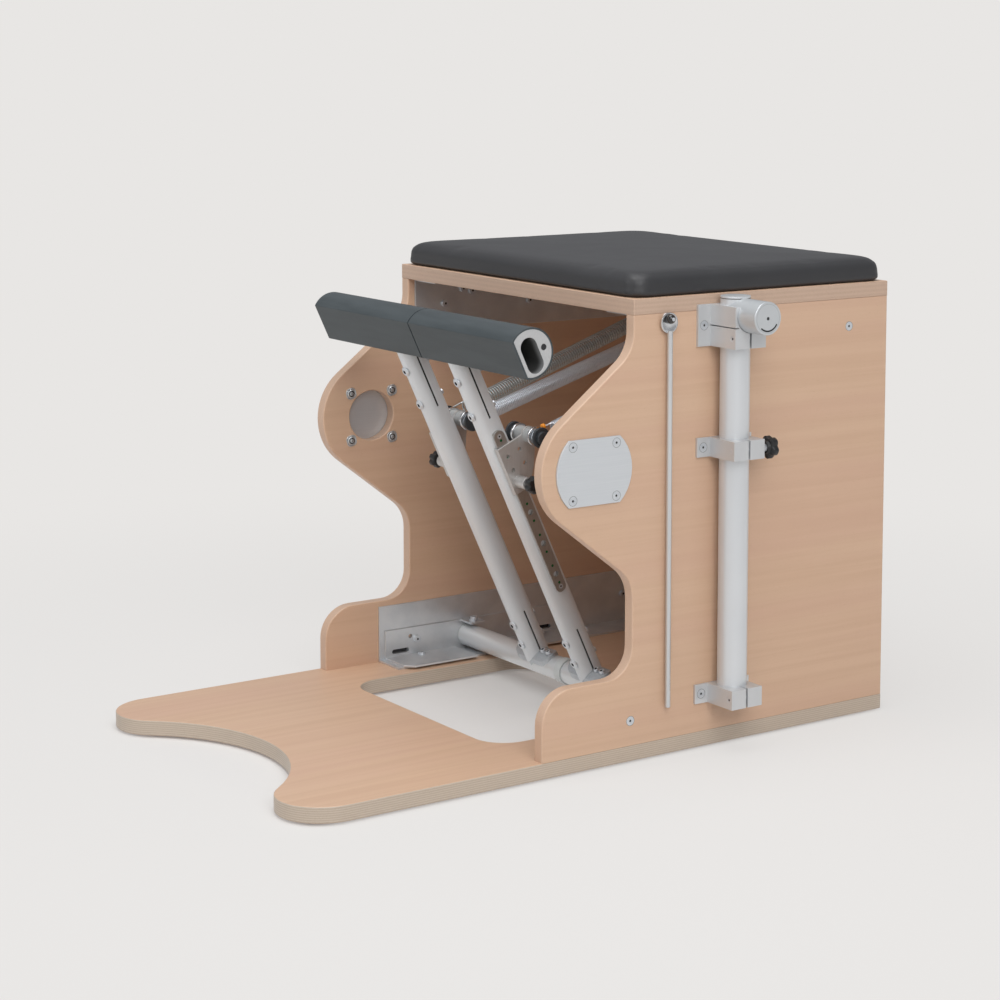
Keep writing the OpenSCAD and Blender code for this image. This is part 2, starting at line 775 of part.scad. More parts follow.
module hole_strip(side) {
    color(raw_aluminium) on_arm(side) difference() {
        translate([arm_a - 2, 0, 0]) sheet_yz(strip_x - arm_a + 2) polygon(concat(
            arc([0, strip_top - strip_w / 2], strip_w / 2, 0, 180, quarter),
            arc([0, strip_low + strip_w / 2], strip_w / 2, 180, 360, quarter)
        ));
        translate([0, 0, strip_low - past]) linear_extrude(strip_top - strip_low + 2 * past)
            polygon(oval(arm_a, arm_b));
        for (n = [-1, 1]) translate([arm_a - 3, n * strip_w / 2 - rail_lip, strip_low - past])
            cube([strip_x - arm_a + 3 - rail_t, 2 * rail_lip, strip_top - strip_low + 2 * past]);
        for (k = [0 : strip_holes - 1]) translate([0, 0, strip_s + k * strip_pitch])
            bar_x(pin_r + 0.2, strip_x + past);
        for (s = strip_screw_s) translate([0, 0, s]) bar_x(2 + screw_gap, strip_x + past);
    }
}

module arm_screw(s) {
    translate([0, head_seat - arm_b, s]) {
        translate([0, -arm_head_h, 0]) bar_y(arm_head_r, arm_head_h);
        bar_y(arm_screw_r, 2 * arm_b - head_seat + 2);
    }
}

module arm_screws(side) {
    color(bright_steel) on_arm(side) {
        for (s = concat(low_screw_s, top_screw_s)) arm_screw(s);
        for (x = foot_screw_x) translate([x, 0, tube_r - tube_wall]) {
            bar_z(foot_screw_r, tube_wall + saddle_t);
            translate([0, 0, tube_wall + saddle_t]) bar_z(foot_head_r, foot_head_h);
        }
        for (s = strip_screw_s) translate([arm_a - arm_wall, 0, s]) {
            bar_x(2, strip_x - arm_a + arm_wall);
            translate([strip_x - arm_a + arm_wall, 0, 0]) bar_x(3.4, 0.2);
        }
    }
}

// Carriage: a plate with a lip on each side that grips the strip's edge from behind, an ear for
// the spool and a housing for the pin
cavity_out = strip_x + slide_gap;
cavity_n = strip_w / 2 + slide_gap;
carriage_out = cavity_out + carriage_wall;
spool_s = carriage_s + spool_up;
ear_r = 12;
housing_r = pin_r + 4.5;
housing_len = 22;
lip_t = 3.5;
plate_back = 30;
bolt_window = [-2, 18.7];

module carriage(side) {
    height = carriage_below + carriage_above;
    front = cavity_n + lip_t;
    spool_x_r = spool_neck_r + screw_gap;
    lip_back = strip_x - rail_t - slide_gap;
    color(raw_aluminium) on_arm(side) difference() {
        union() {
            translate([arm_a + slide_gap, -front, carriage_s - carriage_below])
                cube([carriage_out - arm_a - slide_gap, 2 * front, height]);
            translate([cavity_out, 0, 0]) sheet_yz(carriage_wall) polygon(concat(
                [[0, carriage_s - carriage_below], [front, carriage_s - carriage_below],
                 [plate_back, carriage_s + 8]],
                arc([spool_n, spool_s], ear_r, -45, 120, quarter),
                [[plate_back, carriage_s + carriage_above], [0, carriage_s + carriage_above]]
            ));
            translate([carriage_out, 0, carriage_s]) bar_x(housing_r, housing_len);
        }
        translate([lip_back, -cavity_n, carriage_s - carriage_below - past])
            cube([cavity_out - lip_back, 2 * cavity_n, height + 2 * past]);
        translate([arm_a, rail_lip - slide_gap - cavity_n, carriage_s - carriage_below - past])
            cube([cavity_out - arm_a, 2 * (cavity_n - rail_lip + slide_gap), height + 2 * past]);
        translate([cavity_out - past, 0, carriage_s])
            bar_x(pin_r + run_gap, carriage_wall + housing_len + 2 * past);
        translate([cavity_out - past, spool_n, spool_s]) bar_x(spool_x_r, carriage_wall + 2 * past);
        for (n = bolt_window) for (s = [19, 40]) translate([cavity_out - past, n, carriage_s + s])
            bar_x(3, carriage_wall + 2 * past);
    }
}

knob_r = 12;
knob_h = 12;
knob_x = carriage_out + housing_len + pin_travel + 1;

module star(r, h, notches) {
    difference() {
        bar_z(r, h);
        for (k = [0 : notches - 1]) rotate(360 * k / notches) translate([r * 1.12, 0, -past])
            bar_z(r * 0.3, h + 2 * past);
    }
}

// The pin is drawn back, clear of the strip, and drops into the strip's hole when let go
module pull_pin(side) {
    tip = strip_x + 0.5;
    color(dark_plastic) on_arm(side) translate([0, 0, carriage_s]) {
        translate([tip, 0, 0]) bar_x(pin_r, knob_x - tip);
        translate([knob_x, 0, 0]) rotate([0, 90, 0]) star(knob_r, knob_h, 6);
    }
}

// Spool: radius along its axis, measured from the arm's middle
spool_neck_r = 6;
groove_r = 8;
groove_w = 9;
disc_r = 14;
disc_t = 4;
inner_groove = -7.5;
outer_groove = 45;
spool_profile = [
    [inner_groove - groove_w / 2 - disc_t, disc_r], [inner_groove - groove_w / 2, disc_r],
    [inner_groove - groove_w / 2, groove_r], [inner_groove + groove_w / 2, groove_r],
    [inner_groove + groove_w / 2, disc_r - 0.5], [inner_groove + groove_w / 2 + disc_t, disc_r - 0.5],
    [inner_groove + groove_w / 2 + disc_t, 10.5], [cavity_out - screw_gap, 10.5],
    [cavity_out - screw_gap, spool_neck_r], [carriage_out + screw_gap, spool_neck_r],
    [carriage_out + screw_gap, 10.5], [outer_groove - groove_w / 2 - disc_t, 10.5],
    [outer_groove - groove_w / 2 - disc_t, disc_r - 0.5], [outer_groove - groove_w / 2, disc_r - 0.5],
    [outer_groove - groove_w / 2, groove_r], [outer_groove + groove_w / 2, groove_r],
    [outer_groove + groove_w / 2, disc_r], [outer_groove + groove_w / 2 + disc_t, disc_r],
    [outer_groove + groove_w / 2 + disc_t, 9], [outer_groove + groove_w / 2 + disc_t + 5, 9]
];

module spool(side) {
    ends = [for (p = spool_profile) p.x];
    color(bright_steel) on_arm(side) translate([0, spool_n, spool_s]) rotate([0, 90, 0])
        rotate_extrude($fn = round_fn) polygon(concat(
            [for (p = spool_profile) [p.y, p.x]], [[0, max(ends)], [0, min(ends)]]
        ));
}

// Springs: one wire from the hook on the spool, along the curls, to the hook on the rail.
// The path is in the spring's own axes: along it from the spool, up, and sideways
spool_y = axle_y - spool_s * sin(arm_tilt) + spool_n * cos(arm_tilt);
spool_z = axle_z + spool_s * cos(arm_tilt) + spool_n * sin(arm_tilt);
spring_run = [rail_y - spool_y, rail_z - spool_z];
spring_len = norm(spring_run);
spring_lean = atan2(spring_run.y, spring_run.x);
hook_gap = 0.35;
neck_len = 27;
bend_r = 3.6;
curl_rings = 8;
heavy_splay = 15;
light_splay = -34.5;

function hook_path(rm, wire, core) =
    let (r = core + wire / 2 + hook_gap, last = 335)
    concat(
        [[r * cos(last) - wire * sin(last), r * sin(last) + wire * cos(last), 0]],
        [for (i = [0 : 8]) let (a = last - (last - 90) * i / 8) [r * cos(a), r * sin(a), 0]],
        [[(neck_len - bend_r) / 2, (r + rm) / 2, 0]],
        [for (t = [0, 30, 60])
            [neck_len - bend_r + bend_r * sin(t), rm, bend_r * (1 - cos(t))]]
    );

function spring_path(od, wire, curls, len) =
    let (
        rm = (od - wire) / 2,
        body = len - 2 * neck_len,
        front = hook_path(rm, wire, groove_r),
        rear = hook_path(rm, wire, rail_r),
        n = len(rear)
    )
    concat(
        front,
        [for (i = [1 : curls * curl_rings - 1]) let (a = 360 * i / curl_rings)
            [neck_len + body * i / (curls * curl_rings), rm * cos(a), rm * sin(a)]],
        [for (i = [1 : n]) let (p = rear[n - i]) [len - p.x, p.y, -p.z]]
    );

function unit(v) = v / norm(v);
function tangent(path, i) =
    unit(path[min(i + 1, len(path) - 1)] - path[max(i - 1, 0)]);
function square_to(v, t) = unit(v - (v * t) * t);

// Closed tube of six sides along a path, its rings carried along without twist
module wire_tube(path, r) {
    sides = 6;
    n = len(path);
    across = [for (
        i = 0, t = tangent(path, 0), u = square_to([0, 0, 1], t);
        i < n;
        i = i + 1, t = i < n ? tangent(path, i) : t, u = square_to(u, t)
    ) u];
    points = [for (i = [0 : n - 1]) let (t = tangent(path, i), u = across[i], v = cross(t, u))
        for (k = [0 : sides - 1]) path[i] + r * (cos(60 * k) * u + sin(60 * k) * v)];
    walls = [for (i = [0 : n - 2]) for (k = [0 : sides - 1])
        let (a = i * sides + k, b = i * sides + (k + 1) % sides)
        each [[a, b + sides, b], [a, a + sides, b + sides]]];
    ends = concat(
        [for (k = [1 : sides - 2]) [0, k, k + 1]],
        [for (k = [1 : sides - 2]) let (e = (n - 1) * sides) [e, e + k + 1, e + k]]
    );
    polyhedron(points, concat(walls, ends), convexity = 10);
}

// Least distance between stretches of one wire that are half a turn or more apart, less the wire
function self_gap(path, wire) =
    let (n = len(path), near = curl_rings / 2, far = 2 * curl_rings)
    min([for (i = [0 : n - 1 - near]) for (j = [i + near : min(i + far, n - 1)])
        norm(path[i] - path[j])]) - wire;

// splay is how much further out the rear hook is than the front one
module spring(side, x, splay, od, wire, curls) {
    path = spring_path(od, wire, curls, norm([splay, spring_len]));
    echo(spring_self_gap_mm = self_gap(path, wire));
    on_side(side) translate([x, spool_y, spool_z]) rotate([spring_lean, 0, 0])
        rotate([0, 0, -atan2(splay, spring_len)])
        multmatrix([[0, 0, 1, 0], [1, 0, 0, 0], [0, 1, 0, 0], [0, 0, 0, 1]])
            wire_tube(path, wire / 2);
}

module heavy_spring() {
    color(bright_steel) spring(-1, arm_x + outer_groove, heavy_splay, heavy_od, heavy_wire, heavy_curls);
}

module light_spring_left() {
    color(bright_steel) spring(-1, arm_x + inner_groove, light_splay, light_od, light_wire, light_curls);
}

module light_spring_right() {
    color(bright_steel) spring(1, arm_x + outer_groove, 0, light_od, light_wire, light_curls);
}

module spring_rail() {
    ear_t = 5;
    plate_low = rail_z - 20;
    color(zinc) place() difference() {
        union() {
            translate([-rail_half, back_y - sheet_t, plate_low])
                cube([2 * rail_half, sheet_t, board_z - plate_low]);
            for (x = [-rail_half, -arm_x - 22, arm_x + 17, rail_half - ear_t])
                translate([x, rail_y, rail_z - rail_r - 2])
                    cube([ear_t, rail_off - sheet_t + past, 2 * rail_r + 4]);
            translate([-rail_half, rail_y, rail_z]) bar_x(rail_r, 2 * rail_half);
        }
        for (p = rail_bolt_at) translate([p.x, back_y - sheet_t - past, p.y])
            bar_y(bolt_r + screw_gap, sheet_t + 2 * past);
    }
}

// Cover plate and countersunk screws
module countersink(len) {
    translate([-len, 0, 0]) bar_x(csk_r + screw_gap, len + past);
    translate([-csk_head_h - screw_gap, 0, 0]) rotate([0, 90, 0])
        cylinder(r1 = csk_r + screw_gap, r2 = csk_head_r + 2 * screw_gap,
            h = csk_head_h + 2 * screw_gap, $fn = round_fn);
}

module countersunk_screw(len) {
    socket_r = 1.8;
    difference() {
        union() {
            translate([-len, 0, 0]) bar_x(csk_r, len - csk_head_h);
            translate([-csk_head_h, 0, 0]) rotate([0, 90, 0])
                cylinder(r1 = csk_r, r2 = csk_head_r, h = csk_head_h, $fn = round_fn);
        }
        translate([-1.8, 0, 0]) rotate([0, 90, 0]) cylinder(r = socket_r, h = 1.8 + past, $fn = 6);
    }
}

module cover_plate(side) {
    lean = asin(plate_h / 2 / plate_r);
    color(raw_aluminium) on_side(side) difference() {
        translate([half_w, bulge_y, bulge_z]) sheet_yz(plate_t) polygon(concat(
            arc([0, 0], plate_r, -lean, lean, quarter),
            arc([0, 0], plate_r, 180 - lean, 180 + lean, quarter)
        ));
        for (p = plate_screw_at) translate([half_w + plate_t, p.x, p.y]) countersink(csk_len);
    }
}

module countersunk_screws() {
    color(bright_steel) for (side = [-1, 1]) on_side(side) {
        for (p = plate_screw_at) translate([half_w + plate_t, p.x, p.y])
            countersunk_screw(side_t + plate_t + 2);
        for (p = bracket_screw_at) translate([half_w + flange_t, p.x, p.y]) countersunk_screw(csk_len);
        for (p = angle_screw_at) translate([half_w, p.x, p.y]) countersunk_screw(csk_len);
    }
}

module tee_nuts() {
    color(zinc) for (side = [-1, 1]) on_side(side) for (p = plate_screw_at)
        translate([inner_x, p.x, p.y]) difference() {
            union() {
                translate([-nut_flange_t, 0, 0]) bar_x(nut_flange_r, nut_flange_t);
                bar_x(nut_barrel_r, nut_barrel_len);
            }
            translate([-nut_flange_t - past, 0, 0])
                bar_x(csk_r + screw_gap, nut_barrel_len + nut_flange_t + 2 * past);
        }
}

// Button-head bolt along X, its head's seat at X 0 and its shank towards the panel
module button_bolt(len) {
    difference() {
        union() {
            translate([-bolt_head_h, 0, 0]) bar_x(bolt_head_r, bolt_head_h);
            bar_x(bolt_r, len);
        }
        translate([-bolt_head_h - past, 0, 0]) rotate([0, 90, 0])
            cylinder(r = 2, h = past + 2, $fn = 6);
    }
}

// Cap screw whose head is sunk in the face it goes into
module sunk_screw(len) {
    difference() {
        union() {
            translate([-sunk_head_h, 0, 0]) bar_x(sunk_head_r, sunk_head_h);
            bar_x(bolt_r, len);
        }
        translate([-sunk_head_h - past, 0, 0]) rotate([0, 90, 0])
            cylinder(r = 1.8, h = past + 2, $fn = 6);
    }
}

module frame_bolts() {
    keeper_top = plate_z + axle_plate_h;
    color(bright_steel) {
        for (side = [-1, 1]) on_side(side) {
            for (p = concat(top_bolt_at, low_bolt_at))
                translate([inner_x - sheet_t, p.x, p.y]) button_bolt(sheet_t + bolt_len - 2 * past);
            for (p = plate_bolt_at)
                translate([plate_x, p.x, p.y]) button_bolt(2 * sheet_t + bolt_len - 2 * past);
            for (y = leg_bolt_y) translate([leg_bolt_x, y, plate_z + sheet_t])
                rotate([0, 90, 0]) button_bolt(bolt_len);
            translate([keeper_x, keeper_y, keeper_top]) {
                bar_z(bolt_head_r + 1.5, washer_t);
                translate([0, 0, washer_t]) rotate([0, 90, 0]) button_bolt(sheet_t + washer_t + 2);
            }
            for (z = [upper_z - 14, lower_z])
                translate([half_w + clamp_x, pole_y - block_d / 2 + sunk_depth, z])
                    rotate([0, 0, 90]) sunk_screw(block_d - 6 - sunk_depth);
        }
        place() for (p = rail_bolt_at) translate([p.x, back_y - sheet_t, p.y])
            rotate([0, 0, 90]) button_bolt(sheet_t + bolt_len - 2 * past);
    }
}

// Pole brackets
clamp_x = block_w - 6.5;
slit_w = 3;

module bracket_body(z, h) {
    translate([half_w, 0, z - h / 2]) {
        translate([0, pole_y - block_d / 2, 0]) cube([block_w, block_d, h]);
        translate([0, pole_y - block_d / 2 - flange_w, 0]) cube([flange_t, block_d + 2 * flange_w, h]);
    }
}

module bracket_cuts(z, h) {
    pole_x = half_w + pole_off;
    translate([pole_x, pole_y, z - h / 2 - past]) bar_z(pole_d / 2 + run_gap, h + 2 * past);
    translate([pole_x, pole_y - slit_w / 2, z - h / 2 - past])
        cube([block_w, slit_w, h + 2 * past]);
    for (y = [-1, 1]) translate([half_w + flange_t, pole_y + y * flange_y, z]) countersink(csk_len);
}

module clamp_hole(z) {
    translate([half_w + clamp_x, pole_y - block_d / 2 - past, z]) {
        bar_y(bolt_r + screw_gap, block_d - 4);
        bar_y(sunk_head_r + screw_gap, past + sunk_depth);
    }
}

module upper_bracket(side) {
    grip_z = upper_z + grip_up;
    recess = grip_d / 2 + 0.5;
    color(raw_aluminium) on_side(side) difference() {
        bracket_body(upper_z, upper_h);
        bracket_cuts(upper_z, upper_h);
        translate([half_w + pole_off, pole_y, grip_z]) bar_x(recess, block_w);
        translate([half_w + pole_off, pole_y - recess, grip_z]) cube([block_w, 2 * recess, upper_h]);
        translate([half_w + flange_t, pole_y - block_d / 2 - past, upper_z - 0.75])
            cube([block_w, block_d / 2 + past - recess + 3, 1.5]);
        clamp_hole(upper_z - 14);
    }
}

module lower_brackets(side) {
    color(raw_aluminium) on_side(side) {
        difference() {
            bracket_body(middle_z, guide_h);
            bracket_cuts(middle_z, guide_h);
            translate([half_w + clamp_x, pole_y - block_d / 2 - past, middle_z])
                bar_y(bolt_r + run_gap, block_d + 2 * past);
        }
        difference() {
            bracket_body(lower_z, guide_h);
            bracket_cuts(lower_z, guide_h);
            clamp_hole(lower_z);
        }
    }
}

// Handle poles, their grips and the knobs that clamp them
pole_low = lower_z - guide_h / 2 - 0.2;
pole_top = upper_z + upper_h / 2 + pole_over;
plug_t = 3;

module handle_pole(side) {
    r = pole_d / 2;
    color(raw_aluminium) on_side(side) translate([half_w + pole_off, pole_y, 0]) {
        difference() {
            translate([0, 0, pole_low]) bar_z(r, pole_top - plug_t - pole_low);
            translate([0, 0, pole_low - past]) bar_z(r - pole_wall, pole_top - pole_low);
        }
        translate([0, 0, pole_top - plug_t]) bar_z(r, plug_t);
        translate([0, 0, pole_top - plug_t - 12]) bar_z(r - pole_wall - run_gap, 12);
    }
}

module pole_grip(side) {
    color(raw_aluminium) on_side(side)
        translate([half_w + pole_off, pole_y, upper_z + grip_up]) difference() {
            bar_x(grip_d / 2, grip_reach);
            translate([0, 0, -grip_d]) bar_z(pole_d / 2 + run_gap / 5, 2 * grip_d);
            translate([-past, -grip_d, -grip_d]) cube([past + 8, 2 * grip_d, 2 * grip_d]);
            translate([grip_reach - 3, 0, 0]) rotate([0, 90, 0])
                cylinder(r = 2.5, h = 3 + past, $fn = 6);
        }
}

clamp_knob_r = 17;
clamp_knob_h = 19;

module clamp_knob(side) {
    color(dark_plastic) on_side(side)
        translate([half_w + clamp_x, pole_y - block_d / 2, middle_z]) {
            bar_y(bolt_r, block_d + slide_gap);
            translate([0, block_d + slide_gap, 0]) rotate([-90, 0, 0])
                star(clamp_knob_r, clamp_knob_h, 5);
        }
}

// Storage rod, hanging by its eye from a peg on the right panel
eye_r = rod_r + 3.5;
eye_w = 6;
peg_r = 3;
peg_ball_r = 5;
disc_off = 2;

module storage_rod() {
    color(bright_steel) on_side(1) translate([half_w + disc_off + 1, rod_y, rod_z]) difference() {
        union() {
            bar_x(eye_r, eye_w);
            translate([eye_w / 2 + 1, 0, -rod_len]) bar_z(rod_r, rod_len - peg_ball_r - 1);
        }
        translate([-past, 0, 0]) bar_x(peg_r + run_gap, 2 * eye_w + past);
    }
}

module rod_hook() {
    color(bright_steel) on_side(1) translate([half_w, rod_y, rod_z]) {
        translate([0, 0, -4]) bar_x(13.5, disc_off);
        translate([-9, 0, 0]) bar_x(peg_r, 9 + disc_off + 1 + eye_w + slide_gap + 1);
        translate([disc_off + 1 + eye_w + slide_gap, 0, 0]) bar_x(peg_ball_r, peg_ball_r);
    }
}

base_board();
base_feet();
side_panel(-1);  // side_panel_left
side_panel(1);  // side_panel_right
top_board();
back_panel();
seat_cushion();
top_angle(-1);  // top_angle_left
top_angle(1);  // top_angle_right
bottom_angle(-1);  // bottom_angle_left
bottom_angle(1);  // bottom_angle_right
axle_plate(-1);  // axle_plate_left
axle_plate(1);  // axle_plate_right
axle_shaft();
axle_spacer();
axle_tube(-1);  // axle_tube_left
axle_tube(1);  // axle_tube_right
axle_bushes(-1);  // axle_bushes_left
axle_bushes(1);  // axle_bushes_right
arm_foot(-1);  // arm_foot_left
arm_foot(1);  // arm_foot_right
pedal_arm(-1);  // pedal_arm_left
pedal_arm(1);  // pedal_arm_right
bar_stub(-1);  // bar_stub_left
bar_stub(1);  // bar_stub_right
pedal_bar(-1);  // pedal_bar_left
pedal_bar(1);  // pedal_bar_right
pedal_sleeve(-1);  // pedal_sleeve_left
pedal_sleeve(1);  // pedal_sleeve_right
hole_strip(-1);  // hole_strip_left
hole_strip(1);  // hole_strip_right
arm_screws(-1);  // arm_screws_left
arm_screws(1);  // arm_screws_right
carriage(-1);  // carriage_left
carriage(1);  // carriage_right
pull_pin(-1);  // pull_pin_left
pull_pin(1);  // pull_pin_right
spool(-1);  // spool_left
spool(1);  // spool_right
heavy_spring();
light_spring_left();
light_spring_right();
spring_rail();
cover_plate(-1);  // cover_plate_left
cover_plate(1);  // cover_plate_right
upper_bracket(-1);  // upper_bracket_left
upper_bracket(1);  // upper_bracket_right
lower_brackets(-1);  // lower_brackets_left
lower_brackets(1);  // lower_brackets_right
handle_pole(-1);  // handle_pole_left
handle_pole(1);  // handle_pole_right
pole_grip(-1);  // pole_grip_left
pole_grip(1);  // pole_grip_right
clamp_knob(-1);  // clamp_knob_left
clamp_knob(1);  // clamp_knob_right
storage_rod();
rod_hook();
countersunk_screws();
frame_bolts();
tee_nuts();
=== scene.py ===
import math

import bmesh
import bpy
import numpy as np
from mathutils import Matrix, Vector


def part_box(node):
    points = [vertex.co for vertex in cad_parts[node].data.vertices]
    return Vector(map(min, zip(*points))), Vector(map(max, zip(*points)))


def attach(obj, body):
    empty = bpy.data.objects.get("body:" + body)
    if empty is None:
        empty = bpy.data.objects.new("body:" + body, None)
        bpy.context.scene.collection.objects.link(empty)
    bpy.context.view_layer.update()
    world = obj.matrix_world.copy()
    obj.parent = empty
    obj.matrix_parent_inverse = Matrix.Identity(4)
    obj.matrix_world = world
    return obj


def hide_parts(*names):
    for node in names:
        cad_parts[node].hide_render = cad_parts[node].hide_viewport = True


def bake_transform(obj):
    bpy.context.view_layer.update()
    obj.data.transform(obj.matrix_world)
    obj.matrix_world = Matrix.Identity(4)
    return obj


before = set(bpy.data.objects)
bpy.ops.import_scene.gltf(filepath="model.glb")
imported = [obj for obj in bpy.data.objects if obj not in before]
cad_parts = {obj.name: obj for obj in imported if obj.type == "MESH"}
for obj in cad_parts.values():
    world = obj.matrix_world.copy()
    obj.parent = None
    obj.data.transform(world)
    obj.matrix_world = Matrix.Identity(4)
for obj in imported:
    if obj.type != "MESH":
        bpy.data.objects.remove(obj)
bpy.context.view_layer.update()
SIGNS = {"left": -1, "right": 1}
MM = 0.001


# Base board: a 21 mm plate of beech plywood that the whole chair stands on, with a hollow front
# edge for the user's legs and a rectangular opening under the pedals. It is cut to its outline,
# its top and bottom edges are eased with a router, and the face is clear lacquered.

def paint(red, green, blue):
    """A colour given as it looks on a screen, from 0 to 255, as the linear colour of a shader."""
    screen = np.array([red, green, blue]) / 255
    linear = np.where(screen <= 0.04045, screen / 12.92, ((screen + 0.055) / 1.055) ** 2.4)
    return (*linear.tolist(), 1.0)


class Reading:
    """A number that a finish works out at each point. Sums on readings add Math nodes."""

    def __init__(self, finish, socket):
        self.finish, self.socket = finish, socket

    def math(self, operation, *values):
        return self.finish.node("ShaderNodeMath", {"operation": operation},
                                dict(enumerate(values)))

    def __add__(self, other):
        return self.math("ADD", self, other)

    def __sub__(self, other):
        return self.math("SUBTRACT", self, other)

    def __rsub__(self, other):
        return self.math("SUBTRACT", other, self)

    def __mul__(self, other):
        return self.math("MULTIPLY", self, other)

    def __abs__(self):
        return self.math("ABSOLUTE", self)

    __radd__, __rmul__ = __add__, __mul__

    def between(self, low, high):
        """0 below low, 1 above high, and a smooth step from one to the other."""
        return self.finish.node("ShaderNodeMapRange", {"interpolation_type": "SMOOTHSTEP"},
                                {"Value": self, "From Min": low, "From Max": high})


class Finish:
    """A surface finish: a named material whose nodes are added one call at a time."""

    def __init__(self, name, colour, roughness, metallic=0.0, **fixed):
        self.material = bpy.data.materials.new(name)
        self.material.use_nodes = True
        self.tree = self.material.node_tree
        self.shader = self.tree.nodes["Principled BSDF"]
        self.surface({"Base Color": colour, "Roughness": roughness, "Metallic": metallic})
        self.surface({key.replace("_", " "): value for key, value in fixed.items()})

    def surface(self, sockets):
        self.fill(self.shader, sockets)
        return self

    def fill(self, node, sockets):
        for name, value in sockets.items():
            if isinstance(value, Reading):
                self.tree.links.new(value.socket, node.inputs[name])
            else:
                node.inputs[name].default_value = value

    def node(self, kind, settings=None, sockets=None, output=0):
        """One node of that kind: settings first, then the values or links of its sockets."""
        made = self.tree.nodes.new(kind)
        for name, value in (settings or {}).items():
            setattr(made, name, value)
        self.fill(made, sockets or {})
        return Reading(self, made.outputs[output])

    def where(self, output="Object"):
        """The point on the piece in metres, or the way it faces, as three readings."""
        spot = self.node("ShaderNodeTexCoord", output=output)
        return [self.node("ShaderNodeSeparateXYZ", None, {0: spot}, axis) for axis in range(3)]

    def grain(self, scale, move=(0, 0, 0), detail=3.0, roughness=0.55, distortion=0.0):
        """Noise from 0 to 1 with that many features to the metre along each axis."""
        spot = self.node("ShaderNodeTexCoord", output="Object")
        placed = self.node("ShaderNodeMapping", None,
                           {"Vector": spot, "Location": move, "Scale": scale})
        return self.node("ShaderNodeTexNoise", None,
                         {"Vector": placed, "Scale": 1.0, "Detail": detail,
                          "Roughness": roughness, "Distortion": distortion})

    def mixed(self, share, first, second):
        """first and second colours mixed, with that share of the second."""
        return self.node("ShaderNodeMix", {"data_type": "RGBA"},
                         {0: share, 6: first, 7: second}, 2)

    def relief(self, height, depth):
        """A bump of that depth in metres where height is 1."""
        return self.node("ShaderNodeBump", None, {"Height": height, "Distance": depth})


def plywood(name, thin, start, thick, plies, edge, along=1, seed=0.0, tone=1.0):
    """Beech plywood. thin is the axis the plies are stacked on, from start over thick metres.
    Across the face, long streaks and short flecks run along one axis. On the edges, plies alternate
    between the first two values of edge, its colours, by its third."""
    face_light, face_dark, face_pink = (paint(*(tone * c for c in rgb)) for rgb in
                                        ((212, 178, 150), (198, 161, 133), (207, 168, 145)))
    edge_light, edge_dark, lines = paint(*edge[0]), paint(*edge[1]), edge[2]
    finish = Finish(name, face_light, 0.46, Coat_Weight=0.12, Coat_Roughness=0.3)

    def stretched(long, wide):
        scale = [wide, wide, wide]
        scale[along], scale[thin] = long, 0.0
        return scale

    moved = (seed, seed * 2, seed * 3)
    streaks = finish.grain(stretched(1.6, 70), moved, 4.0, 0.6, 0.4)
    bands = finish.grain(stretched(0.8, 14), moved, 2.0, 0.5, 0.3)
    flecks = finish.grain(stretched(130, 900), moved, 2.0, 0.5)
    face = finish.mixed(streaks.between(0.34, 0.70) * 0.42, face_light, face_dark)
    face = finish.mixed(bands.between(0.40, 0.72) * 0.5, face, face_pink)
    face = finish.mixed(flecks.between(0.60, 0.76) * 0.12, face, paint(150, 108, 82))
    place = finish.where()
    layer = (place[thin] - start) * (plies / thick)
    wave = layer.math("PINGPONG", layer, 1.0)
    pores = finish.grain([700, 700, 700], moved, 2.0)
    edge = finish.mixed(wave.between(0.25, 0.75) * lines, edge_light, edge_dark)
    edge = finish.mixed(pores.between(0.5, 0.75) * 0.2, edge, paint(150, 118, 92))
    on_face = abs(finish.where("Normal")[thin]).between(0.62, 0.8)
    finish.surface({"Base Color": finish.mixed(on_face, edge, face),
                    "Roughness": 0.40 + streaks * 0.16,
                    "Normal": finish.relief(flecks * 0.5 + streaks + wave * (1 - on_face),
                                            0.04 * MM)})
    return finish


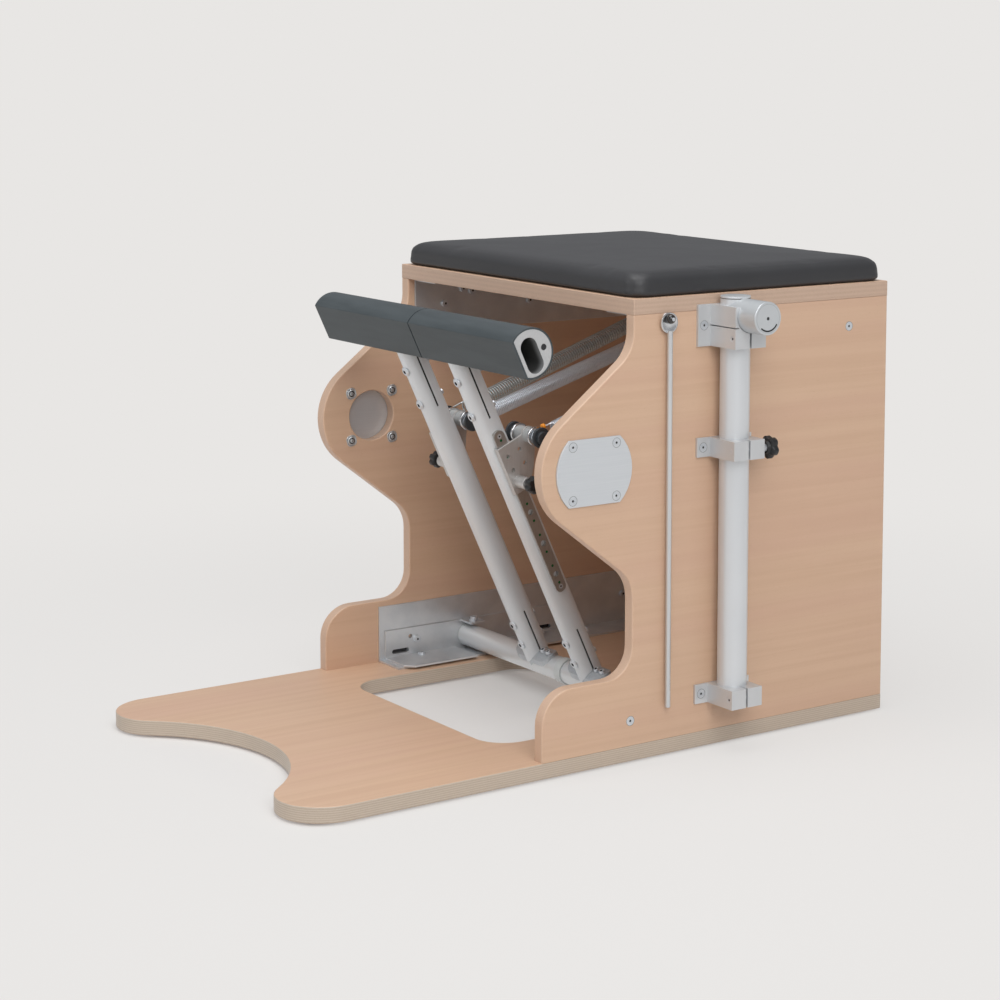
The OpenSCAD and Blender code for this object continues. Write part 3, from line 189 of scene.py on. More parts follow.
def eased(node, body, finish, width, segments=3, corner=35, loops_over=0.0, share=None,
          clamp=True):
    """A CAD node's shape with its hard edges rounded over by width: its copy is merged, flat
    triangles are joined, and edges sharper than corner degrees get a bevel. Only edge loops longer
    than loops_over are eased, each edge by the share of width that share(its middle) gives. With
    clamp, the whole bevel shrinks until no part of it folds over another."""
    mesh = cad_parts[node].data.copy()
    shape = bmesh.new()
    shape.from_mesh(mesh)
    bmesh.ops.remove_doubles(shape, verts=shape.verts, dist=0.002 * MM)
    bmesh.ops.dissolve_limit(shape, angle_limit=math.radians(0.6),
                             verts=shape.verts, edges=shape.edges)
    weight = shape.edges.layers.float.new("bevel_weight_edge")
    limit = math.radians(corner)
    sharp = {e for e in shape.edges if len(e.link_faces) == 2
             and e.calc_face_angle(0.0) > limit}
    for first in list(sharp):
        if first not in sharp:
            continue
        sharp.discard(first)
        loop, ahead = [first], [first]
        while ahead:
            for corner_point in ahead.pop().verts:
                for e in corner_point.link_edges:
                    if e in sharp:
                        sharp.discard(e)
                        loop.append(e)
                        ahead.append(e)
        if sum(e.calc_length() for e in loop) >= loops_over:
            for e in loop:
                middle = (e.verts[0].co + e.verts[1].co) / 2
                e[weight] = 1.0 if share is None else float(share(middle))
    shape.to_mesh(mesh)
    shape.free()
    if "custom_normal" in mesh.attributes:
        mesh.attributes.remove(mesh.attributes["custom_normal"])
    mesh.materials.clear()
    mesh.materials.append(finish.material)
    mesh.shade_smooth()
    mesh.set_sharp_from_angle(angle=limit)
    piece = bpy.data.objects.new(node + "_eased", mesh)
    bpy.context.scene.collection.objects.link(piece)
    bevel = piece.modifiers.new("Eased edges", "BEVEL")
    bevel.width, bevel.segments, bevel.limit_method = width, segments, "WEIGHT"
    bevel.use_clamp_overlap = clamp
    bevel.harden_normals = True
    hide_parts(node)
    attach(piece, body)


def coated(finish, *nodes):
    """The CAD nodes keep their shape and take this finish."""
    for node in nodes:
        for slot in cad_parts[node].material_slots:
            slot.material = finish.material


low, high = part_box("base_board")
BASE_TOP = high.z
base_ply = plywood("Beech_base_ply", 2, low.z, high.z - low.z, 15,
                   ((198, 184, 168), (180, 162, 143), 0.8), seed=3.0)
eased("base_board", "frame", base_ply, 1.6 * MM, loops_over=0.3)


# Glides: six low pads of dark plastic screwed under the base board, so that it clears the floor
# and doesn't scratch it.

glide_plastic = Finish("Glide_plastic", paint(46, 46, 48), 0.6)
glide_plastic.surface({"Normal": glide_plastic.relief(glide_plastic.grain([900] * 3), 0.05 * MM)})
coated(glide_plastic, "base_feet")


# Side panels: two 18 mm beech plywood panels with a round bulge that carries a cover plate, and a
# low shoulder at the foot. The routed outline shows the plies, and the face is clear lacquered.

PANEL_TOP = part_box("side_panel_right")[1].z
for side, seed in (("left", 11.0), ("right", 5.0)):
    low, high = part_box("side_panel_" + side)
    panel_ply = plywood("Beech_panel_ply_" + side, 0, low.x, high.x - low.x, 13,
                        ((207, 176, 152), (199, 165, 141), 0.4), seed=seed)
    eased("side_panel_" + side, "frame", panel_ply, 2.2 * MM, segments=4,
          loops_over=0.15, share=lambda p: BASE_TOP + MM < p.z < PANEL_TOP - MM, clamp=False)


# T-nuts: zinc plated nuts with a round flange, pressed into the inner side of each panel, where
# the cover plate's screws come through them.

BULGE_Y, BULGE_Z = -39.3, 393.6
INSIDE_FACE = 271.0


def turned(profile, place, way, sides=24, lobes=5):
    """Rings about an axis. A row of the profile is (t, r, hexagon, star) in millimetres, and its
    point at the angle u is place + t way + r f(u) (cos u a + sin u b), where f falls from 1 at a
    hexagon's corners to cos 30 on its flats, or by the star's share between its lobes."""
    rows = np.array([(*row, *(0,) * (4 - len(row))) for row in profile], float)
    way = np.array(way, float) / np.linalg.norm(way)
    a = np.cross(way, [0.36, 0.48, 0.8])
    a /= np.linalg.norm(a)
    b = np.cross(way, a)
    u = np.linspace(0, 2 * math.pi, sides, endpoint=False)
    flats = math.cos(math.pi / 6) / np.cos(u % (math.pi / 3) - math.pi / 6)
    valleys = (0.5 - 0.5 * np.cos(lobes * u)) ** 2
    radius = (rows[:, 1:2] * (1 + rows[:, 2:3] * (flats[None] - 1))
              * (1 - rows[:, 3:4] * valleys[None]))[..., None]
    around = np.cos(u)[:, None] * a + np.sin(u)[:, None] * b
    return (np.array(place) + rows[:, 0, None, None] * way + radius * around[None]) * MM


def skin(name, shells, finishes, bands=None, smooth_under=50, ringed=False):
    """A closed surface over each shell, which is rows of points with a ring in each row. The band
    between two rows takes the finish that bands names by its number, or else the first. The last
    row is joined to the first where it is ringed, and otherwise both are closed flat."""
    points, faces, kinds, start = [], [], [], 0
    for rows in shells:
        count, sides = rows.shape[:2]
        spot = start + np.arange(count * sides).reshape(count, sides)
        ahead = np.roll(spot, -1, axis=1)
        above, beside = np.roll(spot, -1, axis=0), np.roll(ahead, -1, axis=0)
        quads = np.stack([spot, ahead, beside, above], axis=-1)[:None if ringed else -1]
        faces += quads.reshape(-1, 4).tolist()
        band = np.zeros(len(quads), int) if bands is None else np.array(bands)
        kinds += np.repeat(band, sides).tolist()
        if not ringed:
            faces += [spot[0][::-1].tolist(), spot[-1].tolist()]
            kinds += [int(band[0]), int(band[-1])]
        points.append(rows.reshape(-1, 3))
        start += count * sides
    mesh = bpy.data.meshes.new(name)
    mesh.from_pydata(np.concatenate(points), [], faces)
    for finish in finishes:
        mesh.materials.append(finish.material)
    mesh.polygons.foreach_set("material_index", kinds)
    mesh.shade_smooth()
    mesh.set_sharp_from_angle(angle=math.radians(smooth_under))
    piece = bpy.data.objects.new(name, mesh)
    bpy.context.scene.collection.objects.link(piece)
    return piece


def laid(piece, body):
    """The piece moves with that body."""
    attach(piece, body)


def fitted(piece, slot, body, *nodes):
    """The piece is laid there, and stands for those nodes."""
    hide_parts(*nodes)
    laid(piece, body)


nut_zinc = Finish("Nut_zinc", paint(200, 203, 205), 0.28, 0.75)
plating = nut_zinc.grain([500] * 3, detail=3.0)
nut_zinc.surface({"Base Color": nut_zinc.mixed(plating, paint(180, 184, 187),
                                               paint(218, 221, 222)),
                  "Roughness": 0.26 + plating * 0.2})
# A dark finish of painted shade, laid in sockets, slots, bores and grooves where shade falls.
painted_shade = Finish("Painted_shade", paint(44, 44, 46), 0.7)
painted_shade.surface({"Roughness": 0.6 + painted_shade.grain([400] * 3) * 0.2})
petals = [(-9, 4.8), (0, 4.8), (0, 8.2, 0, 0.1), (0.3, 8.9, 0, 0.1), (0.9, 8.9, 0, 0.1),
          (1.3, 8.3, 0, 0.08), (0.9, 6.3), (1.6, 5.4), (2.1, 5.0), (2.1, 4.4), (0.3, 4.0),
          (0.3, 3.0), (1.9, 2.9), (2.3, 2.3)]
nuts = [turned(petals, (sign * INSIDE_FACE, BULGE_Y + y, BULGE_Z + z), (-sign, 0, 0), 32, 4)
        for sign in (-1, 1) for y in (-34, 34) for z in (-34.5, 34.5)]
# The groove round each nut's screw end takes the painted shade.
fitted(skin("pressed_nuts", nuts, [nut_zinc, painted_shade], [0] * 9 + [1] * 2 + [0] * 2, 40),
       "zinc_steel", "frame", "tee_nuts")


# Seat board and back panel: a 21 mm board across the top of both sides, and an 18 mm panel
# between them at the rear, both of the same beech plywood.

low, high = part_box("top_board")
seat_ply = plywood("Beech_seat_ply", 2, low.z, high.z - low.z, 7,
                   ((198, 170, 149), (184, 156, 136), 0.4), seed=7.0)
eased("top_board", "frame", seat_ply, 1.2 * MM)
low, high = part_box("back_panel")
back_ply = plywood("Beech_back_ply", 1, low.y, high.y - low.y, 13,
                   ((207, 176, 152), (199, 165, 141), 0.4), along=0, seed=2.0, tone=0.98)
eased("back_panel", "frame", back_ply, 0.8 * MM, loops_over=0.3)


# Steel angles and axle plates: folded zinc plated steel bolted inside each panel, one angle under
# the seat board, one on the base board, and a slotted plate on the lower one that holds the axle.
# Each slot is backed by a thin dark sheet of painted shade, so that it looks dark.

SLOT_Z, SLOT_HALF_RUN, SLOT_RADIUS = 37, 11, 3.2
zinc = Finish("Zinc_plate", paint(206, 210, 213), 0.34, 0.7)
spangle = zinc.grain([34, 34, 34], detail=3.0, roughness=0.5)
scratch = zinc.grain([30, 420, 420], detail=3.0)
zinc.surface({"Base Color": zinc.mixed(spangle.between(0.3, 0.7), paint(208, 211, 214),
                                       paint(219, 221, 223)),
              "Roughness": 0.26 + spangle * 0.16 + scratch * 0.1,
              "Normal": zinc.relief(scratch, 0.01 * MM)})
for side in SIGNS:
    for node in ("top_angle_", "bottom_angle_", "axle_plate_"):
        eased(node + side, "frame", zinc, 0.5 * MM, segments=2, loops_over=0.12)
shades = []
for sign in SIGNS.values():
    for y in (4.0, 259.5):
        shade = turned([(0.05, SLOT_RADIUS), (0.3, SLOT_RADIUS)],
                       (sign * INSIDE_FACE, y, SLOT_Z), (-sign, 0, 0), 32)
        shade[..., 1] += np.sign(shade[..., 1] - y * MM) * SLOT_HALF_RUN * MM
        shades.append(shade)
laid(skin("slot_shades", shades, [painted_shade]), "frame")


# Axle: a bright steel shaft from plate to plate, with an aluminium tube on each half that turns on
# plastic bushes, and a white plastic spacer between the two.

bright = Finish("Bright_steel", paint(214, 216, 218), 0.2, 1.0)
wear = bright.grain([160, 160, 160], detail=3.0)
bright.surface({"Base Color": bright.mixed(wear, paint(196, 199, 203), paint(226, 227, 228)),
                "Roughness": 0.14 + wear * 0.18})
white_plastic = Finish("White_plastic", paint(208, 212, 211), 0.42)
white_plastic.surface({"Roughness": 0.36 + white_plastic.grain([300] * 3) * 0.16})
coated(bright, "axle_shaft")
coated(white_plastic, "axle_spacer", "axle_bushes_left", "axle_bushes_right")
tube_satin = Finish("Axle_tube_aluminium", paint(218, 220, 221), 0.36, 0.35)
lathe = tube_satin.grain([16, 600, 600], detail=3.0)
tube_satin.surface({"Roughness": 0.3 + lathe * 0.14,
                    "Normal": tube_satin.relief(lathe, 0.006 * MM)})
for side in SIGNS:
    eased("axle_tube_" + side, side + "_pedal", tube_satin, 0.5 * MM, 2,
          loops_over=0.05)


# Pedal arms: oval aluminium tubes in saddle feet, with saw slits and stubs inside their upper ends,
# clamped by button-head screws. A punched strip on each outer face gives the carriage its places.

ARM_FOOT = np.array([66.0, 120.5, 46.0])
ARM_BEHIND = np.array([0.90741, 0.42025])
ARM_UP = np.array([-0.42025, 0.90741])
FOOT_SLIT_END, BAR_SLIT_START = 90 * MM, 430 * MM
FIRST_MARK, MARK_STEP, MARK_PAST_HOLE = 183 * MM, 25 * MM, 13.6 * MM


def arm_way(side, way):
    """A direction given outwards, behind the arm and along it, as a direction of the frame."""
    return np.array([SIGNS[side] * way[0], *(way[1] * ARM_BEHIND + way[2] * ARM_UP)])


def on_arm(side, spot):
    """A point given outwards, behind the arm and along it from the axle, in millimetres."""
    return ARM_FOOT * (SIGNS[side], 1, 1) + arm_way(side, spot)


def arm_place(finish):
    """How far a point is behind the arm's middle and along it from the axle, as two readings."""
    _, y, z = finish.where()
    y, z = y - float(ARM_FOOT[1]) * MM, z - float(ARM_FOOT[2]) * MM
    return [z * float(way[1]) + y * float(way[0]) for way in (ARM_BEHIND, ARM_UP)]


arm_satin = Finish("Arm_aluminium", paint(222, 226, 229), 0.4, 0.15)
lines = arm_satin.grain([520, 520, 14], detail=2.0)
cloud = arm_satin.grain([30, 30, 6], detail=2.0)
behind, lift = arm_place(arm_satin)
# Painted shade: a dark line along each saw slit, up to the foot's slit end and from the bar's slit
# start.
slit_shade = ((1 - abs(behind).between(0.9 * MM, 1.4 * MM))
        * (1 - lift.between(FOOT_SLIT_END, FOOT_SLIT_END + MM)
           + lift.between(BAR_SLIT_START, BAR_SLIT_START + MM)))
tubing = arm_satin.mixed(cloud, paint(215, 219, 222), paint(229, 232, 234))
arm_satin.surface({"Base Color": arm_satin.mixed(slit_shade, tubing, paint(34, 33, 32)),
                   "Roughness": 0.34 + cloud * 0.1,
                   "Normal": arm_satin.relief(lines, 0.008 * MM)})
foot_zinc = Finish("Saddle_zinc", paint(186, 190, 194), 0.36, 0.5)
cast = foot_zinc.grain([240] * 3, detail=3.0)
foot_zinc.surface({"Base Color": foot_zinc.mixed(cast, paint(172, 177, 182),
                                                 paint(200, 203, 206)),
                   "Roughness": 0.3 + cast * 0.16})
screw_zinc = Finish("Blued_zinc", paint(206, 210, 214), 0.3, 0.6)
passive = screw_zinc.grain([180] * 3, detail=2.0)
screw_zinc.surface({"Base Color": screw_zinc.mixed(passive, paint(192, 198, 205),
                                                   paint(224, 226, 228)),
                    "Roughness": 0.24 + passive * 0.16})
strip_satin = Finish("Punched_strip", paint(176, 172, 168), 0.34, 0.8)
rub = strip_satin.grain([60, 300, 60], detail=3.0)
behind, lift = arm_place(strip_satin)
past_hole = lift.math("PINGPONG", lift - FIRST_MARK, MARK_STEP) - MARK_PAST_HOLE
mark = past_hole.math("SQRT", past_hole * past_hole + behind * behind)
scuffed = strip_satin.mixed(rub, paint(160, 156, 152), paint(190, 187, 183))
on_mark = 1 - mark.between(1.7 * MM, 2.1 * MM)
strip_satin.surface({"Base Color": strip_satin.mixed(on_mark, scuffed, paint(30, 118, 74)),
                     "Roughness": 0.3 + rub * 0.14})
button = [(-38, 4), (0, 4), (0, 7.1), (0.2, 7.4), (1.7, 7.4), (2.9, 6.7), (3.8, 5.2),
          (4.0, 3.5), (3.8, 3.0, 1), (1.6, 2.9, 1)]
cap = [(-8, 2.5), (0, 2.5), (0, 4.0), (0.2, 4.2), (4.0, 4.2), (4.5, 3.7), (4.5, 2.3),
       (4.3, 2.0, 1), (2.0, 1.9, 1)]
flat = [(-7.5, 2), (0, 2), (0.02, 3.3), (0.15, 3.4), (0.2, 3.1), (0.2, 1.6), (0.15, 1.4, 1),
        (-1, 1.3, 1)]
for side in SIGNS:
    pedal = side + "_pedal"
    for node, finish, width in (("pedal_arm_", arm_satin, 0.3), ("arm_foot_", foot_zinc, 0.7),
                                ("hole_strip_", strip_satin, 0.3)):
        eased(node + side, pedal, finish, width * MM, 2, 40, 0.05)
    # The stubs inside the arms' upper ends take the painted shade.
    coated(painted_shade, "bar_stub_" + side)
    for name, profile, places, way in (
            ("arm_buttons_", button, [(0, -17, s) for s in (41, 74, 441, 494)], (0, -1, 0)),
            ("saddle_screws_", cap, [(x, 0, 22.25) for x in (-34, -21, 21, 34)], (0, 0, 1)),
            ("strip_screws_", flat, [(18, 0, s) for s in (163, 403)], (1, 0, 0))):
        screws = [turned(profile, on_arm(side, spot), arm_way(side, way)) for spot in places]
        # The last band of each screw is its socket, which takes the painted shade.
        bands = [0] * (len(profile) - 2) + [1]
        fitted(skin(name + side, screws, [screw_zinc, painted_shade], bands, 40),
               "bright_steel", pedal, "arm_screws_" + side)


# Foot bars: D-shaped aluminium extrusions with an oval slot, each in a moulded slate rubber cover
# that is pulled over the bar and ends flush with it.

rubber = Finish("Slate_rubber", paint(66, 72, 75), 0.5, Specular_IOR_Level=0.4)
bloom = rubber.grain([9, 60, 60], detail=4.0, roughness=0.6)
dust = rubber.grain([1400] * 3, detail=1.0)
rubber.surface({"Base Color": rubber.mixed(bloom.between(0.3, 0.7), paint(61, 68, 71),
                                           paint(72, 79, 82)),
                "Roughness": 0.44 + bloom * 0.14,
                "Normal": rubber.relief(dust, 0.02 * MM)})
BAR_END = 254 * MM
bar_satin = Finish("Bar_aluminium", paint(196, 197, 197), 0.34, 0.5)
streak = bar_satin.grain([18, 500, 500], detail=3.0)
# Painted shade: the bar darkens from its ends inwards, so its slot looks dark inside.
inside = (BAR_END - abs(bar_satin.where()[0])).between(0.6 * MM, 16 * MM)
clean = bar_satin.mixed(streak, paint(188, 189, 190), paint(206, 207, 207))
bar_satin.surface({"Base Color": bar_satin.mixed(inside * 0.85, clean, paint(72, 72, 70)),
                   "Roughness": 0.3 + streak * 0.12})


def sleeve_share(spot):
    """Nothing is eased round the cut for the arm, and the ends only a little."""
    aside = abs(spot.x)
    if 40 * MM < aside < 110 * MM:
        return 0
    return 1 if 20 * MM <= aside <= 250 * MM else 0.28


for side in SIGNS:
    pedal = side + "_pedal"
    eased("pedal_bar_" + side, pedal, bar_satin, 0.4 * MM, 2)
    eased("pedal_sleeve_" + side, pedal, rubber, 1.6 * MM, 4, share=sleeve_share)
    # A dark lining of painted shade fills the bore in each bar's end.
    bore = turned([(-30, 4.1), (-0.9, 4.1)], on_arm(side, (188, 20.2, 550.35)),
                  arm_way(side, (1, 0, 0)))
    laid(skin("bar_bore_" + side, [bore], [painted_shade]), pedal)


# Carriages: a square aluminium slide on each arm with a side plate of four holes, a locking pin
# with a black star knob, and a spool of discs and a roller that the springs hook on.

black_plastic = Finish("Black_plastic", paint(30, 30, 31), 0.42)
mottle = black_plastic.grain([500] * 3, detail=2.0)
black_plastic.surface({"Roughness": 0.36 + mottle * 0.16,
                       "Normal": black_plastic.relief(mottle, 0.03 * MM)})
slide_satin = Finish("Slide_aluminium", paint(190, 188, 186), 0.34, 0.5)
mill = slide_satin.grain([300, 300, 30], detail=3.0)
slide_satin.surface({"Base Color": slide_satin.mixed(mill, paint(178, 176, 174),
                                                     paint(204, 202, 200)),
                     "Roughness": 0.3 + mill * 0.12,
                     "Normal": slide_satin.relief(mill, 0.006 * MM)})
disc_grey = Finish("Disc_nylon", paint(50, 54, 58), 0.42)
fleck = disc_grey.grain([400] * 3, detail=2.0)
disc_grey.surface({"Roughness": 0.36 + fleck * 0.16, "Normal": disc_grey.relief(fleck, 0.02 * MM)})
roller_grey = Finish("Roller_grey", paint(176, 178, 178), 0.45, 0.2)
ring_lines = roller_grey.grain([400, 30, 30], detail=2.0)
roller_grey.surface({"Roughness": 0.4 + ring_lines * 0.14,
                     "Base Color": roller_grey.mixed(ring_lines, paint(166, 168, 168),
                                                     paint(188, 190, 190))})
PIN_UP_ARM = 333
SPOOL_BEHIND, SPOOL_UP_ARM = 40, 383
for side in SIGNS:
    carriage = side + "_carriage"
    eased("carriage_" + side, carriage, slide_satin, 0.5 * MM, 2,
          loops_over=0.05)
    out = arm_way(side, (1, 0, 0))
    knob = turned([(18.5, 3.6), (18.8, 3.9), (49.5, 3.9), (49.5, 7.6), (50.6, 10.6, 0, 0.1),
                   (52.4, 12, 0, 0.22), (59.4, 12, 0, 0.22), (61.4, 10.8, 0, 0.2),
                   (62, 8.8, 0, 0.1), (62, 4.4), (61.5, 3.8)],
                  on_arm(side, (0, 0, PIN_UP_ARM)), out, 48, 6)
    fitted(skin("pin_knob_" + side, [knob], [screw_zinc, black_plastic], [0] * 2 + [1] * 8, 42),
           "black_plastic", side + "_lock_pin", "pull_pin_" + side)
    spool = turned([(-16, 9), (-16, 13), (-15, 14), (-13, 14), (-12, 13), (-12, 8), (-3, 8),
                    (-3, 12.6), (-2.2, 13.5), (0.2, 13.5), (1, 12.6), (1, 10.5), (18.2, 10.5),
                    (18.2, 6), (22.1, 6), (22.1, 10.5), (36.5, 10.5), (36.5, 12.6), (37.3, 13.5),
                    (39.7, 13.5), (40.5, 12.6), (40.5, 8), (49.5, 8), (49.5, 13), (50.5, 14),
                    (52.5, 14), (53.5, 13), (53.5, 9), (57.6, 9), (58.5, 8.1), (58.5, 3.4),
                    (57.6, 3.0, 1), (55.5, 3.0, 1)],
                   on_arm(side, (0, SPOOL_BEHIND, SPOOL_UP_ARM)), out, 40)
    fitted(skin("turned_spool_" + side, [spool], [disc_grey, bright, roller_grey],
                [0] * 5 + [1] * 6 + [2] * 6 + [1] * 5 + [0] * 10, 42),
           "bright_steel", carriage, "spool_" + side)


# Springs: close coiled steel wire with a hook at each end, from the spool on the pedal's carriage
# to the bar on the back panel.

SPOOL = np.array([-0.0042, 0.4104])
RAIL = np.array([0.4235, 0.5540])
SPOOL_CORE, RAIL_CORE = 8 * MM, 5 * MM
NECK = 27 * MM
TURN_STEPS = 22


def tube(path, across, radius, sides=8):
    """A round wire along a path. across is a direction for each path point that is nearly square
    to it: point = path + radius (cos u across + sin u (tangent x across))."""
    tangent = np.gradient(path, axis=0)
    tangent /= np.linalg.norm(tangent, axis=1, keepdims=True)
    across = across - (across * tangent).sum(1, keepdims=True) * tangent
    across /= np.linalg.norm(across, axis=1, keepdims=True)
    up = np.cross(tangent, across)
    turn = np.linspace(0, 2 * math.pi, sides, endpoint=False)[None, :, None]
    return path[:, None] + radius * (np.cos(turn) * across[:, None] + np.sin(turn) * up[:, None])


def spring(node, x, rear_x, outer, wire, turns, finish):
    """A spring from the spool to the rail. Along its axis t, the curls are
    (r cos 2 pi k t, r sin 2 pi k t) and each end runs into a hook round the spool or the bar."""
    rise = (RAIL - SPOOL) / np.linalg.norm(RAIL - SPOOL)
    ahead = np.array([rear_x - x, *(RAIL - SPOOL)])
    length = np.linalg.norm(ahead)
    along = ahead / length
    above = np.array([0, -rise[1], rise[0]])
    aside = np.cross(along, above)
    middle = (outer - wire) / 2
    steps = turns * TURN_STEPS
    part = np.arange(steps + 1) / steps
    angle = 2 * math.pi * turns * part
    curls = np.stack([NECK + (length - 2 * NECK) * part, middle * np.cos(angle),
                      middle * np.sin(angle)], axis=1)
    outward = np.stack([0 * angle, np.cos(angle), np.sin(angle)], axis=1)

    def hook(core):
        """From the hook's free end round the pin of that radius and up to the first curl."""
        r = core + wire / 2 + 0.35 * MM
        bend = 5 * MM
        a = np.radians(np.linspace(335, 78, 26))
        arc = np.stack([r * np.cos(a), r * np.sin(a), 0 * a], axis=1)
        b = np.radians(np.linspace(0, 70, 7))
        bent = np.stack([NECK - bend + bend * np.sin(b), middle + 0 * b, bend * (1 - np.cos(b))],
                        axis=1)
        lead = arc[-1] + (bent[0] - arc[-1]) * np.linspace(0, 1, 8)[1:-1, None]
        outer_way = np.tile([[0, 1.0, 0]], (len(lead) + len(bent), 1))
        return np.concatenate([arc, lead, bent]), np.concatenate([arc / r, outer_way])

    front, front_side = hook(SPOOL_CORE)
    rear, rear_side = hook(RAIL_CORE)
    rear = (np.array([length, 0, 0]) + rear * [-1, 1, -1])[::-1]
    rear_side = (rear_side * [-1, 1, -1])[::-1]
    path = np.concatenate([front, curls[2:-2], rear])
    across = np.concatenate([front_side, outward[2:-2], rear_side])
    turned_path = path[:, :1] * along + path[:, 1:2] * above + path[:, 2:] * aside
    turned_across = across[:, :1] * along + across[:, 1:2] * above + across[:, 2:] * aside
    origin = np.array([x, *SPOOL])
    piece = skin(node + "_coil", [tube(turned_path + origin, turned_across, wire / 2)], [finish])
    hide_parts(node)
    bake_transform(piece)


spring_wire = Finish("Spring_wire", paint(196, 203, 204), 0.34, 0.85)
oil = spring_wire.grain([60] * 3, detail=2.0)
spring_wire.surface({"Base Color": spring_wire.mixed(oil, paint(184, 192, 193),
                                                     paint(208, 214, 215)),
                     "Roughness": 0.32 + oil * 0.06})
fine_wire = Finish("Fine_spring_wire", paint(220, 226, 233), 0.4, 0.8)
drawn = fine_wire.grain([40] * 3, detail=2.0)
fine_wire.surface({"Base Color": fine_wire.mixed(drawn, paint(212, 219, 228),
                                                 paint(228, 232, 238)),
                   "Roughness": 0.33 + drawn * 0.06})
spring("heavy_spring", -0.111, -0.126, 23 * MM, 2.6 * MM, 96, spring_wire)
spring("light_spring_left", -0.0585, -0.024, 22 * MM, 2.6 * MM, 146, fine_wire)
spring("light_spring_right", 0.111, 0.111, 22 * MM, 2.6 * MM, 146, fine_wire)
orange = Finish("Orange_band", paint(236, 146, 36), 0.5)
orange.surface({"Roughness": 0.44 + orange.grain([500] * 3) * 0.14})
band = turned([(-2.6, 1.5), (-2.6, 3.2), (-1.8, 4.0), (1.8, 4.0), (2.6, 3.2), (2.6, 1.5)],
              (111.0, 3.6, 424.0), (0, 0.95, 0.32), 24)
laid(skin("spring_band", [band], [orange]), "right_pedal")
eased("spring_rail", "frame", zinc, 0.4 * MM, 2, loops_over=0.05)


# Seat cushion: firm foam in a cover of dark grey vinyl, fixed on the seat board. The top is softly
# crowned, the upper edge is full and round, and the foot spreads to the board's edge.

CUSHION_VOXEL, CLOTH_STEPS = 5 * MM, 20
CUSHION_CAP = 4 * MM
CUSHION_SHRINK = 0.4 * MM
CUSHION_FLARE = 3.2 * MM
FLARE_HEIGHT = 12 * MM
SEAT_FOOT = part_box("seat_cushion")[0].z


def cushion():
    """The CAD pad made smaller, remeshed, blown up as cloth, and held to within the cap of where
    it started and above the seat board. Its foot is flared out to the board's edge."""
    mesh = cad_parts["seat_cushion"].data.copy()
    shape = bmesh.new()
    shape.from_mesh(mesh)
    bmesh.ops.remove_doubles(shape, verts=shape.verts, dist=0.01 * MM)
    shape.to_mesh(mesh)
    shape.free()
    if "custom_normal" in mesh.attributes:
        mesh.attributes.remove(mesh.attributes["custom_normal"])
    pad = bpy.data.objects.new("seat_pad", mesh)
    bpy.context.scene.collection.objects.link(pad)
    bpy.context.view_layer.objects.active = pad
    spots = np.empty(len(mesh.vertices) * 3)
    mesh.vertices.foreach_get("co", spots)
    spots = spots.reshape(-1, 3)
    low, high = spots.min(0), spots.max(0)
    centre = (low + high) / 2
    spots = centre + (spots - centre) * (1 - 2 * CUSHION_SHRINK / (high - low))
    mesh.vertices.foreach_set("co", spots.ravel())
    remesh = pad.modifiers.new("Remesh", "REMESH")
    remesh.mode, remesh.voxel_size = "VOXEL", CUSHION_VOXEL
    graph = bpy.context.evaluated_depsgraph_get()
    dense = bpy.data.meshes.new_from_object(pad.evaluated_get(graph))
    pad.modifiers.clear()
    pad.data = dense
    rest = np.empty(len(dense.vertices) * 3)
    dense.vertices.foreach_get("co", rest)
    rest = rest.reshape(-1, 3)
    swollen = rest
    cloth = pad.modifiers.new("Cloth", "CLOTH")
    cloth.settings.use_pressure = True
    cloth.settings.uniform_pressure_force = 4.0
    cloth.settings.effector_weights.gravity = 0.0
    for step in range(1, CLOTH_STEPS + 1):
        bpy.context.scene.frame_set(step)
    graph = bpy.context.evaluated_depsgraph_get()
    grown = pad.evaluated_get(graph).to_mesh()
    swollen = np.empty(len(grown.vertices) * 3)
    grown.vertices.foreach_get("co", swollen)
    swollen = swollen.reshape(-1, 3)
    pad.evaluated_get(graph).to_mesh_clear()
    pad.modifiers.clear()
    bpy.context.scene.frame_set(1)
    shift = swollen - rest
    far = np.linalg.norm(shift, axis=1, keepdims=True)
    moved = rest + shift * np.minimum(1, CUSHION_CAP / np.maximum(far, 1e-9))
    foot = np.clip(1 - (moved[:, 2:] - SEAT_FOOT) / FLARE_HEIGHT, 0, 1)
    moved[:, :2] += (moved - centre)[:, :2] / ((high - low)[:2] / 2) * CUSHION_FLARE * foot
    moved[:, 2] = np.maximum(moved[:, 2], SEAT_FOOT + 0.2 * MM)
    dense.vertices.foreach_set("co", moved.ravel())
    dense.shade_smooth()
    soft = pad.modifiers.new("Soft", "SUBSURF")
    soft.levels = soft.render_levels = 1
    return pad


vinyl = Finish("Grey_vinyl", paint(50, 50, 52), 0.46, Specular_IOR_Level=0.5)
pebbles = vinyl.node("ShaderNodeTexVoronoi", {"feature": "SMOOTH_F1"},
                     {"Vector": vinyl.node("ShaderNodeTexCoord", output="Object"), "Scale": 900.0})
matt = vinyl.grain([14] * 3, detail=3.0)
vinyl.surface({"Base Color": vinyl.mixed(matt, paint(47, 47, 49), paint(54, 54, 56)),
               "Roughness": 0.42 + matt * 0.1,
               "Normal": vinyl.relief(pebbles, 0.03 * MM)})
pad = cushion()
pad.data.materials.clear()
pad.data.materials.append(vinyl.material)
fitted(pad, "seat_vinyl", "frame", "seat_cushion")


# Cover plates: bare brushed aluminium plates over the panel's round hole, each held by four
# countersunk screws.

